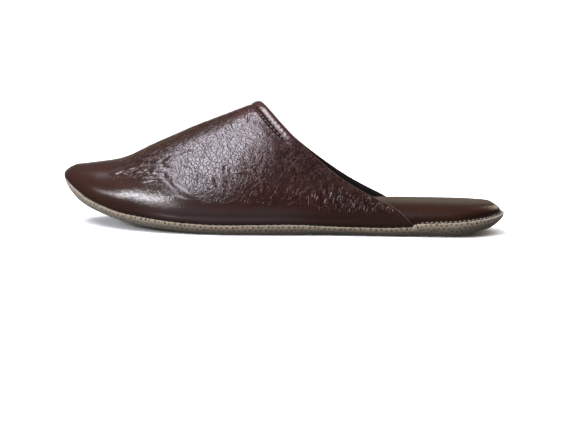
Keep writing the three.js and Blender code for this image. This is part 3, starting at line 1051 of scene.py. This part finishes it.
def leather_zones(points, place, v):
    """Shares from 0 to 1 that tell the leather's material where it changes, and distances for hem holes.

    Upright and matt lie under the collar, where matt also carries a painted shade, warmth behind the ball,
    the strip above the seam, which carries a painted sheen, and lengthways above the toe."""
    x = points[..., 0]
    z = points[..., 2]
    to_collar, along_collar = place["collar"]
    to_seam = place["seam"]
    near_peak = ramp(z, HEM_LOW, HEM_LOW + SEWN_FADE)
    hemmed = near_peak * (1 - ramp(to_collar, HEM_WIDTH, HEM_WIDTH + HEMMED_FADE))
    slanted = x - UPRIGHT_SLANT * (z - SLANT_LEVEL)
    return {
        "upright": (1 - ramp(slanted, *UPRIGHT_BEHIND)) * (1 - ramp(z, *UPRIGHT_BELOW)),
        "warmth": (1 - ramp(x, *WARM_BEHIND)) * ramp(to_seam, *WARM_ABOVE_SEAM),
        # The matt zone under the collar, where the material also paints shade
        "matt": ramp(z, *MATT_ABOVE) * (1 - ramp(x, *MATT_BEHIND)) * (1 - hemmed),
        # The strip above the seam, where the material paints a sheen
        "strip": (1 - ramp(to_seam, *STRIP_BELOW)) * stretch(x, *LOW_STRIP),
        "lengthways": stretch(x, *LENGTHWAYS) * ramp(z, *LENGTHWAYS_ABOVE),
        "hem_gap": to_collar,
        "hem_way": along_collar,
        "hem_sewn": near_peak * ramp(np.abs(v), *SEWN_OFF_RIDGE),
    }


def upper_places(points):
    """Distances of points on the vamp from the collar's edge, with the way along it, and from the seam."""
    turns = np.linspace(-1, 1, EDGE_POINTS)
    edge = upper_skin(collar_cut(turns, 0.0), turns)
    corner = STEP_FRONT * LENGTH
    x = LENGTH - (LENGTH - corner) * np.linspace(0, 1, SEAM_POINTS) ** 2
    seams = np.concatenate((upper_skin(x[::-1], np.ones_like(x)), upper_skin(x, -np.ones_like(x))[1:]))
    return {"collar": distance_to_line(points, edge), "seam": distance_to_line(points, seams)[0]}


def vamp_grid(rows, columns, lowered):
    """Places (x, v) on the vamp: rows crowd towards the toe and a little towards the collar."""
    share = np.linspace(0, 1, rows + 1)[:, None]
    v = np.linspace(1, -1, columns + 1)[None, :]
    toe_wards = share**2 * (1.5 - 0.5 * share)
    both_ways = share**2 * (3 - 2 * share)
    reach = LENGTH - collar_cut(v, lowered)
    x = LENGTH - reach * (BOTH_WAYS * both_ways + (1 - BOTH_WAYS) * toe_wards)
    return x, np.broadcast_to(v, x.shape)


def turned_wall(points, normal, outer, inner, angles):
    """A wall from its middle skin: rows outside and inside it, and an edge rolled round past the last row.

    The roll's rows stand off the skin by the cosine of each angle and lead on past it by the sine."""
    outside = [points + outer[..., None] * normal]
    inside = [points - inner * normal]
    ahead = squared(unit(points[-1] - points[-3]), normal[-1])
    middle = (outer[-1] - inner) / 2
    radius = (outer[-1] + inner) / 2
    for angle in np.radians(angles):
        lead = (radius * np.sin(angle))[:, None] * ahead
        rise = radius * np.cos(angle)
        outside.append((points[-1] + (middle + rise)[:, None] * normal[-1] + lead)[None])
        inside.append((points[-1] + (middle - rise)[:, None] * normal[-1] + lead)[None])
    return np.concatenate(outside), np.concatenate(inside)


def wall_piece(outside, inside, every):
    """Points and faces of a closed wall: each ring is an outer row and every few points of its inner row.

    Faces run between neighbouring rings, and a strip along the edge joins the last ring's two rows."""
    rings = np.concatenate((outside, inside[:, ::every][:, ::-1]), 1)
    count = rings.shape[1]
    faces = ring_faces(len(rings), count)
    first = (len(rings) - 1) * count
    for k in range((outside.shape[1] - 1) // every):
        outer_run = [first + k * every + n for n in range(every, -1, -1)]
        faces.append(outer_run + [first + count - 1 - k, first + count - 2 - k])
    return rings.reshape(-1, 3), faces, count


class SlipperSizes(bpy.types.PropertyGroup):
    """Sizes of the fine forms."""

    hem_rise: bpy.props.FloatProperty(
        name="Hem rise", description="How far the turned hem puffs up, in millimetres",
        default=0.85, min=0.0)
    crease_depth: bpy.props.FloatProperty(
        name="Crease depth", description="Scale of the placed creases", default=1.0, subtype="FACTOR")
    wrinkle_depth: bpy.props.FloatProperty(
        name="Wrinkle depth", description="Scale of the small wrinkles", default=0.6, subtype="FACTOR")
    heel_pitch: bpy.props.FloatProperty(
        name="Heel stitch pitch", description="Distance between stitches of the heel seam, in millimetres",
        default=2.9)


class SlipperLook(bpy.types.PropertyGroup):
    """Colours and depths of the finishes."""

    leather: bpy.props.FloatVectorProperty(
        name="Leather", description="Glazed leather of the vamp", subtype="COLOR",
        default=(0.017, 0.0066, 0.0045))
    leather_red: bpy.props.FloatVectorProperty(
        name="Reddish leather", description="Warmer clouds of the vamp", subtype="COLOR",
        default=(0.025, 0.0066, 0.005))
    # Painted sheen: a greyish tint for the smooth strip above the seam, in place of a reflection
    leather_strip_sheen: bpy.props.FloatVectorProperty(
        name="Leather above the seam", description="Smooth low strip of the vamp", subtype="COLOR",
        default=(0.036, 0.025, 0.026))
    # Rubbed paler folds, and also the painted highlights of the net and strokes under the collar
    rubbed_and_highlit_leather: bpy.props.FloatVectorProperty(
        name="Rubbed leather", description="Raised folds and pale lines of the vamp", subtype="COLOR",
        default=(0.06, 0.03, 0.027))
    # Painted highlight along the collar's rolled edge
    leather_edge_highlight: bpy.props.FloatVectorProperty(
        name="Leather edge", description="Rolled edge of the collar", subtype="COLOR",
        default=(0.11, 0.075, 0.06))
    pad: bpy.props.FloatVectorProperty(
        name="Insole leather", description="Cover of the insole", subtype="COLOR",
        default=(0.0125, 0.0042, 0.0022))
    pad_light: bpy.props.FloatVectorProperty(
        name="Insole leather, light", description="Paler clouds of the cover", subtype="COLOR",
        default=(0.016, 0.0054, 0.003))
    suede: bpy.props.FloatVectorProperty(
        name="Suede", description="Suede of the sole", subtype="COLOR", default=(0.178, 0.145, 0.103))
    suede_light: bpy.props.FloatVectorProperty(
        name="Suede, light", description="Paler clouds of the suede", subtype="COLOR",
        default=(0.192, 0.157, 0.112))
    pore: bpy.props.FloatVectorProperty(
        name="Pores", description="Dark pores of the suede", subtype="COLOR", default=(0.025, 0.019, 0.015))
    lining: bpy.props.FloatVectorProperty(
        name="Lining", description="Cloth inside the vamp", subtype="COLOR",
        default=(0.004, 0.0036, 0.0036))
    hem_thread: bpy.props.FloatVectorProperty(
        name="Hem thread", description="Thread of the hem", subtype="COLOR", default=(0.03, 0.014, 0.012))
    heel_thread: bpy.props.FloatVectorProperty(
        name="Heel thread", description="Thread of the heel seam", subtype="COLOR",
        default=(0.2, 0.17, 0.135))
    floor: bpy.props.FloatVectorProperty(
        name="Floor", description="The pale floor", subtype="COLOR", default=(0.86, 0.86, 0.865))
    hem_pitch: bpy.props.FloatProperty(
        name="Hem stitch pitch", description="Distance between stitches of the hem, in millimetres",
        default=3.0)
    crinkle_depth: bpy.props.FloatProperty(
        name="Crinkle depth", description="Depth of the finest crinkles, in millimetres", default=0.28)
    pore_pitch: bpy.props.FloatProperty(
        name="Pore pitch", description="Distance between pores of a row, in millimetres", default=3.1)
    pore_rows: bpy.props.FloatProperty(
        name="Pore rows", description="Distance between rows of pores, in millimetres", default=2.2)


class SLIPPER_OT_upper(bpy.types.Operator):
    """Makes the creased leather vamp with its turned hem"""

    bl_idname = "slipper.upper"
    bl_label = "Upper"

    def execute(self, context):
        sizes = context.scene.slipper_sizes
        look = context.scene.slipper_look
        x, v = vamp_grid(UPPER_ROWS, UPPER_COLUMNS, UPPER_LOWERED)
        skin = upper_skin(x, v)
        normal = outward(upper_skin, 1, x, v)
        depth = {
            "hem": sizes.hem_rise,
            "crease": sizes.crease_depth,
            "wrinkle": sizes.wrinkle_depth,
            "pitch": look.hem_pitch,
        }
        place = upper_places(skin)
        relief, crinkle = leather_relief(skin, place, v, depth)
        outside, inside = turned_wall(skin, normal, relief, LEATHER, ROLL_ANGLES)
        points, faces, count = wall_piece(outside, inside, INSIDE_EVERY)
        piece = make_piece("vamp_leather", points, faces, glazed_leather(look), "upper")
        # The rolled edge's rows, which the material paints with a highlight
        rim_highlight = np.zeros(outside.shape[:2])
        rim_highlight[len(relief) + 1 :] = 1
        values = {"relief": relief, "crinkle": crinkle, "rim_highlight": rim_highlight, **leather_zones(skin, place, v)}
        for name, value in values.items():
            stored = np.zeros((len(outside), count))
            stored[: len(value), : value.shape[1]] = value
            keep_values(piece, name, stored)
        merge_tips(piece)
        return {"FINISHED"}


class SLIPPER_OT_lining(bpy.types.Operator):
    """Makes the black lining inside the vamp"""

    bl_idname = "slipper.lining"
    bl_label = "Lining"

    def execute(self, context):
        x, v = vamp_grid(*LINING_GRID, LINING_LOWERED)
        skin = upper_skin(x, v)
        normal = outward(upper_skin, 1, x, v)
        skin = skin - (LEATHER + LINING_GAP + LINING) * normal
        skin = skin - np.abs(scaled_noise(skin, *LINING_NOISE))[..., None] * normal
        outer = np.full(x.shape, LINING)
        outside, inside = turned_wall(skin, normal, outer, 0.0, LINING_ROLL_ANGLES)
        points, faces, _ = wall_piece(outside, inside, 1)
        cloth = lining_cloth(context.scene.slipper_look)
        piece = make_piece("collar_lining", points, faces, cloth)
        merge_tips(piece)
        return {"FINISHED"}


def sole_stations():
    """Distances from the heel, close together where the ends turn in."""
    heel, waist, toe = SOLE_STATIONS
    near_heel = HEEL_PLAN_ROUND * (1 - np.cos(np.linspace(0, np.pi / 2, heel + 1)))
    near_toe = LENGTH - TOE_PLAN_ROUND * (1 - np.cos(np.linspace(0, np.pi / 2, toe + 1)))
    middle = np.linspace(HEEL_PLAN_ROUND, LENGTH - TOE_PLAN_ROUND, waist + 1)
    return np.concatenate((near_toe, middle[::-1][1:-1], near_heel[::-1]))[:, None]


def sole_turns():
    """Values of v across the sole from the inner seam to the outer one, closer along the rolled edges."""
    rolled = 1 - ROLL_SHARE * np.linspace(0, 1, RIM_POINTS + 1)
    level = np.linspace(1 - ROLL_SHARE, ROLL_SHARE - 1, LEVEL_POINTS)[1:-1]
    return np.concatenate((rolled, level, -rolled[::-1]))[::-1][None, :]


def seam_line(values):
    """A line along the outer seam to the end and back along the inner one, from values at v of 1 and -1."""
    outer, inner = (values(side) for side in (1.0, -1.0))
    return np.concatenate((outer[::-1], inner[1:]))


class SLIPPER_OT_outsole(bpy.types.Operator):
    """Makes the suede sole, a shallow tray whose top edge is rounded"""

    bl_idname = "slipper.outsole"
    bl_label = "Outsole"

    def execute(self, context):
        x, v = np.broadcast_arrays(sole_stations(), sole_turns())
        skin = sole_skin(x, v)
        normal = outward(sole_skin, -1, x, v)
        uneven = sum(scaled_noise(skin, *noise) for noise in SOLE_NOISES)
        uneven = uneven * ramp(skin[..., 2] - sole["under"](x), *SOLE_NOISE_ABOVE)
        uneven = uneven * ramp(LENGTH - x, 0, SOLE_NOISE_TOE) * ramp(x, 0, SOLE_NOISE_HEEL)
        outer = skin + uneven[..., None] * normal
        inner = skin - SOLE_WALL * normal
        outer_lip = self.lip(outer[:, -1], inner[:, -1])
        inner_lip = self.lip(outer[:, 0], inner[:, 0])[:, ::-1]
        rings = np.concatenate((outer, outer_lip, inner[:, ::-1], inner_lip), 1)
        points = rings.reshape(-1, 3)
        faces = ring_faces(len(rings), rings.shape[1])
        look = context.scene.slipper_look
        piece = make_piece("suede_sole", points, faces, suede(look), "outsole")
        self.store_edge_places(piece, rings)
        merge_tips(piece)
        return {"FINISHED"}

    def lip(self, outer, inner):
        """A rounded top edge from the outer skin over to the inner one.

        It is drawn down at each stitch, and it stands up in a notch at the collar's corner."""
        x = outer[:, 0]
        wave = LIP_WAVE * np.cos(2 * np.pi * way_along(outer) / LIP_PITCH)
        wave = wave * ramp(np.minimum(x, LENGTH - x), 0, LIP_PITCH)
        notch = NOTCH_RISE * ramp(x, NOTCH_AT - NOTCH_RUN, NOTCH_AT - NOTCH_DROP) * (x < NOTCH_AT)
        rise = LIP_RISE * (1 + wave) + notch
        middle = (outer + inner) / 2
        angles = np.radians(LIP_ANGLES)
        rows = [middle + (outer - middle) * np.cos(a) + (rise * np.sin(a))[:, None] * UP for a in angles]
        return np.stack(rows, 1)

    def store_edge_places(self, piece, rings):
        """Keeps how far each point lies along the seam and down from it, for the pores."""
        x = sole_stations()[:, 0]
        line = seam_line(lambda side: sole_skin(x, np.full_like(x, side)))
        down, along = distance_to_line(rings, line)
        keep_values(piece, "down", down)
        keep_values(piece, "along", along)


class SLIPPER_OT_insole(bpy.types.Operator):
    """Makes the padded insole, a crowned pad that swells over the sole's edge at the heel"""

    bl_idname = "slipper.insole"
    bl_label = "Insole"

    def execute(self, context):
        x, v = np.broadcast_arrays(sole_stations(), sole_turns())
        inset = SOLE_WALL + PAD_GAP
        bottom = sole_skin(x, v, pad["edge"]) - inset * outward(sole_skin, -1, x, v)
        outer_half = self.half_top(x[:, 0], bottom[:, -1], 1.0)
        inner_half = self.half_top(x[:, 0], bottom[:, 0], -1.0)[:, ::-1]
        rings = np.concatenate((bottom, outer_half[:, 1:], inner_half[:, 1:-1]), 1)
        points = rings.reshape(-1, 3)
        faces = ring_faces(len(rings), rings.shape[1])
        cover = pad_leather(context.scene.slipper_look)
        piece = make_piece("padded_insole", points, faces, cover, "insole")
        merge_tips(piece)
        return {"FINISHED"}

    def half_top(self, x, edge, side):
        """Half of the top, a cubic from the edge, which leans out and rises, to the level middle.

        Slow hollows and small puckers above the edge show that it is stuffed and sewn."""
        facing = unit(outward(sole_skin, -1, x, np.full_like(x, side)) * (1, 1, 0))
        ends = round_end(x, PAD_HEEL_ROUND) * round_end(LENGTH - x, TOE_UNDER_ROUND)
        rise = (HEEL_PAD_HEIGHT * pad["top"](x) - edge[:, 2]) * ends
        leave = edge + (pad["overhang"](x) * ends)[:, None] * facing + (rise * PAD_FLANK)[:, None] * UP
        middle = np.stack((edge[:, 0], sole["swing"](x), edge[:, 2] + rise), -1)
        arrive = middle + (0, 1, 0) * (edge - middle) * PAD_CREST
        t = np.linspace(0, 1, PAD_POINTS + 1)[None, :, None]
        top = bezier(t, edge[:, None], leave[:, None], arrive[:, None], middle[:, None])
        pucker = np.cos(2 * np.pi * way_along(edge) / PAD_PUCKER_PITCH)[:, None, None]
        pucker = pucker * np.sin(np.pi * t) ** 2 * form(t, *PAD_PUCKERS)
        hollow = scaled_noise(top, *PAD_NOISE)[..., None] * np.sin(np.pi * t / 2) ** 2
        strength = (ends * ramp(x, *PAD_FADE))[:, None, None]
        return top + strength * (pucker * facing[:, None] + hollow * UP)


def stitch_rows(centres, along, outwards, length, radius):
    """Points and faces of small threads, each a bent capsule that rises out of the surface and dips back in.

    The section is a circle that shrinks towards both ends, carried along an arch over the stitch's length."""
    steps = np.linspace(-1, 1, STITCH_STEPS)
    around = np.linspace(0, 2 * np.pi, STITCH_SIDES, endpoint=False)
    rise, dip = STITCH_ARCH
    arch = radius * (rise - dip * steps**4)
    shrink = np.sqrt(np.clip(1 + STITCH_TIP - steps**6, STITCH_TIP, 1))
    across = np.cross(along, outwards)
    spine = centres[:, None] + (steps * length / 2)[:, None] * along[:, None]
    spine = spine + arch[:, None] * outwards[:, None]
    sideways = np.cos(around)[:, None] * across[:, None, None]
    upwards = np.sin(around)[:, None] * outwards[:, None, None]
    points = spine[:, :, None] + (radius * shrink)[:, None, None] * (sideways + upwards)
    count = len(around)
    one = ring_faces(len(steps), count)
    caps = [list(range(count)), list(range(len(steps) * count - 1, (len(steps) - 1) * count - 1, -1))]
    size = len(steps) * count
    faces = [[n + k * size for n in face] for k in range(len(centres)) for face in one + caps]
    return points.reshape(-1, 3), faces


def evenly(line, pitch):
    """Shares of a line's points at which equal steps of about the pitch lie."""
    passed = way_along(line)
    count = max(2, round(passed[-1] / pitch))
    return np.interp((np.arange(count) + 0.5) / count * passed[-1], passed, np.arange(len(line)))


def pick(values, shares):
    """Rows of an array at shares between whole numbers."""
    whole = np.arange(len(values))
    return np.stack([np.interp(shares, whole, values[:, axis]) for axis in range(values.shape[1])], -1)


class SLIPPER_OT_stitches(bpy.types.Operator):
    """Sews the hem along the collar and the seam round the heel"""

    bl_idname = "slipper.stitches"
    bl_label = "Stitches"

    def execute(self, context):
        sizes = context.scene.slipper_sizes
        look = context.scene.slipper_look
        self.hem(look.hem_pitch, thread("hem_thread", look.hem_thread))
        self.heel(sizes.heel_pitch, thread("heel_thread", look.heel_thread))
        return {"FINISHED"}

    def sew(self, name, line, outwards, pitch, stitch, material):
        """Lays threads along a line at a pitch, each in the line's own direction there."""
        shares = evenly(line, pitch)
        centres = pick(line, shares)
        ahead = pick(line, np.minimum(shares + 0.5, len(line) - 1))
        behind = pick(line, np.maximum(shares - 0.5, 0))
        along = unit(ahead - behind)
        facing = squared(pick(outwards, shares), along)
        points, faces = stitch_rows(centres, along, facing, *stitch)
        make_piece(name, points, faces, material)

    def hem(self, pitch, material):
        """Sews along the hem's groove, on both sides of the peak as far down as the hem shows."""
        turns = np.linspace(-HEM_TURNS, HEM_TURNS, HEM_POINTS)
        start = collar_cut(turns, 0.0)
        edge = upper_skin(start, turns)

        def near_edge(x):
            return distance_to_line(upper_skin(x, turns), edge)[0] < HEM_STITCH_GAP

        x = turning_point(start, start + HEM_SEARCH, near_edge)
        line = upper_skin(x, turns)
        shown = line[:, 2] > HEM_LOW
        line = line[shown]
        outwards = outward(upper_skin, 1, x, turns)[shown]
        deeper = ramp(line[:, 2], HEM_LOW, HEM_LOW + HEM_STITCH_FADE)
        sunk = HEM_STITCH_SINK + HEM_STITCH_DEEPER * deeper
        self.sew("hem_stitches", line - sunk[:, None] * outwards, outwards, pitch, HEM_STITCH, material)

    def heel(self, pitch, material):
        """Sews round the heel, from one notch in the suede's edge to the other."""
        x = HEEL_STITCH_REACH * np.sin(np.linspace(0, np.pi / 2, HEEL_POINTS)) ** 2
        line = seam_line(lambda side: sole_skin(x, np.full_like(x, side)))
        facing = seam_line(lambda side: outward(sole_skin, -1, x, np.full_like(x, side)))
        tilted = unit(facing * HEEL_STITCH_LEAN + HEEL_STITCH_UP)
        line = line + HEEL_STITCH_RISE * UP - HEEL_STITCH_INSET * unit(facing * (1, 1, 0))
        self.sew("heel_stitches", line, tilted, pitch, HEEL_STITCH, material)


def aim(thing, place, target, roll=0.0):
    """Puts a lamp or camera at a place, looking at a target, rolled about its own line of sight."""
    ahead = (Vector(target) - Vector(place)).normalized()
    level = ahead.cross(Vector((0, 0, 1))).normalized()
    upright = level.cross(ahead)
    right = level * np.cos(roll) + upright * np.sin(roll)
    top = right.cross(ahead)
    turn = Matrix((right, top, -ahead)).transposed().to_4x4()
    thing.matrix_world = Matrix.Translation(place) @ turn


# Soft lamps: place and target in metres, width and height of the panel, its roll in degrees, power and colour
LAMPS = {
    "overhead_panel": ((0.34, -0.075, 0.85), (0.34, -0.085, 0.0), 0.42, 0.55, 0, 7.3, (0.9, 0.88, 1.0)),
    "forward_panel": ((0.32, 0.9, 0.85), (0.32, 0.89, 0.0), 0.46, 1.4, 0, 27.0, (0.9, 0.88, 1.0)),
    "toe_panel": ((0.7, 0.63, 0.37), (0.08, 0.0, 0.03), 0.66, 0.15, -16, 8.4, (0.95, 0.95, 1.0)),
    "side_panel": ((0.55, 1.03, 0.15), (0.0, 0.0, 0.02), 0.32, 0.14, 0, 0.9, (1.0, 0.96, 0.96)),
    "back_panel": ((0.0, -1.3, 0.2), (0.0, 0.0, 0.03), 2.4, 0.4, 0, 0.8, (1.0, 0.9, 0.68)),
    "heel_panel": ((-0.75, -0.62, 0.45), (-0.1, 0.0, 0.02), 0.7, 0.45, 0, 2.8, (1.0, 0.83, 0.62)),
}

# Wide lights that show in no reflection: where they come from and their strength
SUNS = {"sky_light": ((0.05, -0.15, 3.0), 3.4), "front_light": ((0.2, 2.9, 0.9), 1.0)}
SUN_ANGLE = 1.6
CAMERA_PLACE = (-0.0015, 0.6895, 0.0955)
CAMERA_TARGET = (-0.0015, 0.0, 0.0079)
CAMERA_ROLL = 1.4
CAMERA_LENS = 68.97
CAMERA_SENSOR = 36
FLOOR_HALF = 40.0
FLOOR_DROP = 0.0002
SHADE_LIGHT = 0.1
BACKDROP_LIGHT = 1.2
SKY_TINT = (1.0, 0.97, 0.92, 1.0)


class SLIPPER_OT_stage(bpy.types.Operator):
    """Lays the floor and sets up the lamps, the sky and the camera"""

    bl_idname = "slipper.stage"
    bl_label = "Stage"

    def execute(self, context):
        scene = context.scene
        self.floor(scene)
        for name, (place, target, width, height, roll, power, tint) in LAMPS.items():
            lamp = bpy.data.lights.new(name, "AREA")
            lamp.shape = "RECTANGLE"
            lamp.size = width
            lamp.size_y = height
            lamp.energy = power
            lamp.color = tint
            panel = self.link(scene, name, lamp)
            panel.visible_camera = False
            aim(panel, place, target, np.radians(roll))
        for name, (place, strength) in SUNS.items():
            lamp = bpy.data.lights.new(name, "SUN")
            lamp.energy = strength
            lamp.angle = SUN_ANGLE
            sun = self.link(scene, name, lamp)
            sun.visible_glossy = False
            aim(sun, place, (0.0, 0.0, 0.0))
        self.sky(scene)
        camera = bpy.data.cameras.new("camera")
        camera.sensor_width = CAMERA_SENSOR
        camera.lens = CAMERA_LENS
        camera.clip_start = 0.01
        camera.clip_end = 500
        scene.camera = self.link(scene, "camera", camera)
        aim(scene.camera, CAMERA_PLACE, CAMERA_TARGET, np.radians(CAMERA_ROLL))
        scene.view_settings.view_transform = "Standard"
        return {"FINISHED"}

    def link(self, scene, name, data):
        """Puts an object with its data into the scene."""
        thing = bpy.data.objects.new(name, data)
        scene.collection.objects.link(thing)
        return thing

    def floor(self, scene):
        """A level square under the slipper, far larger than the view. It throws no light back."""
        corners = np.array(((-1, -1, 0), (1, -1, 0), (1, 1, 0), (-1, 1, 0))) * FLOOR_HALF
        mesh = bpy.data.meshes.new("floor")
        mesh.from_pydata(corners - FLOOR_DROP * UP, [], [(0, 1, 2, 3)])
        mesh.materials.append(plain_floor(scene.slipper_look))
        floor = self.link(scene, "floor", mesh)
        floor.visible_glossy = False
        floor.visible_diffuse = False

    def sky(self, scene):
        """A pale backdrop that lights the slipper only faintly."""
        world = bpy.data.worlds.new("studio")
        world.use_nodes = True
        scene.world = world
        tree = world.node_tree
        back = tree.nodes["Background"]
        back.inputs["Color"].default_value = SKY_TINT
        path = tree.nodes.new("ShaderNodeLightPath")
        strength = tree.nodes.new("ShaderNodeMapRange")
        strength.inputs["To Min"].default_value = SHADE_LIGHT
        strength.inputs["To Max"].default_value = BACKDROP_LIGHT
        tree.links.new(path.outputs["Is Camera Ray"], strength.inputs["Value"])
        tree.links.new(strength.outputs["Result"], back.inputs["Strength"])


class SLIPPER_PT_panel(bpy.types.Panel):
    """Lists the slipper's settings and pieces"""

    bl_idname = "SLIPPER_PT_panel"
    bl_label = "Travel Slipper"
    bl_space_type = "VIEW_3D"
    bl_region_type = "UI"
    bl_category = "Slipper"

    def draw(self, context):
        for group in (context.scene.slipper_sizes, context.scene.slipper_look):
            for name in group.bl_rna.properties.keys():
                if name not in ("rna_type", "name"):
                    self.layout.prop(group, name)
        for operator in PIECE_OPERATORS:
            self.layout.operator(operator.bl_idname)


PIECE_OPERATORS = (
    SLIPPER_OT_upper,
    SLIPPER_OT_lining,
    SLIPPER_OT_outsole,
    SLIPPER_OT_insole,
    SLIPPER_OT_stitches,
    SLIPPER_OT_stage,
)
CLASSES = (SlipperSizes, SlipperLook, *PIECE_OPERATORS, SLIPPER_PT_panel)


def register():
    for cls in CLASSES:
        bpy.utils.register_class(cls)
    bpy.types.Scene.slipper_sizes = bpy.props.PointerProperty(type=SlipperSizes)
    bpy.types.Scene.slipper_look = bpy.props.PointerProperty(type=SlipperLook)


def unregister():
    del bpy.types.Scene.slipper_look
    del bpy.types.Scene.slipper_sizes
    for cls in reversed(CLASSES):
        bpy.utils.unregister_class(cls)


def main():
    register()
    bpy.ops.slipper.upper()
    bpy.ops.slipper.lining()
    bpy.ops.slipper.outsole()
    bpy.ops.slipper.insole()
    bpy.ops.slipper.stitches()
    bpy.ops.slipper.stage()


if __name__ == "__main__":
    main()
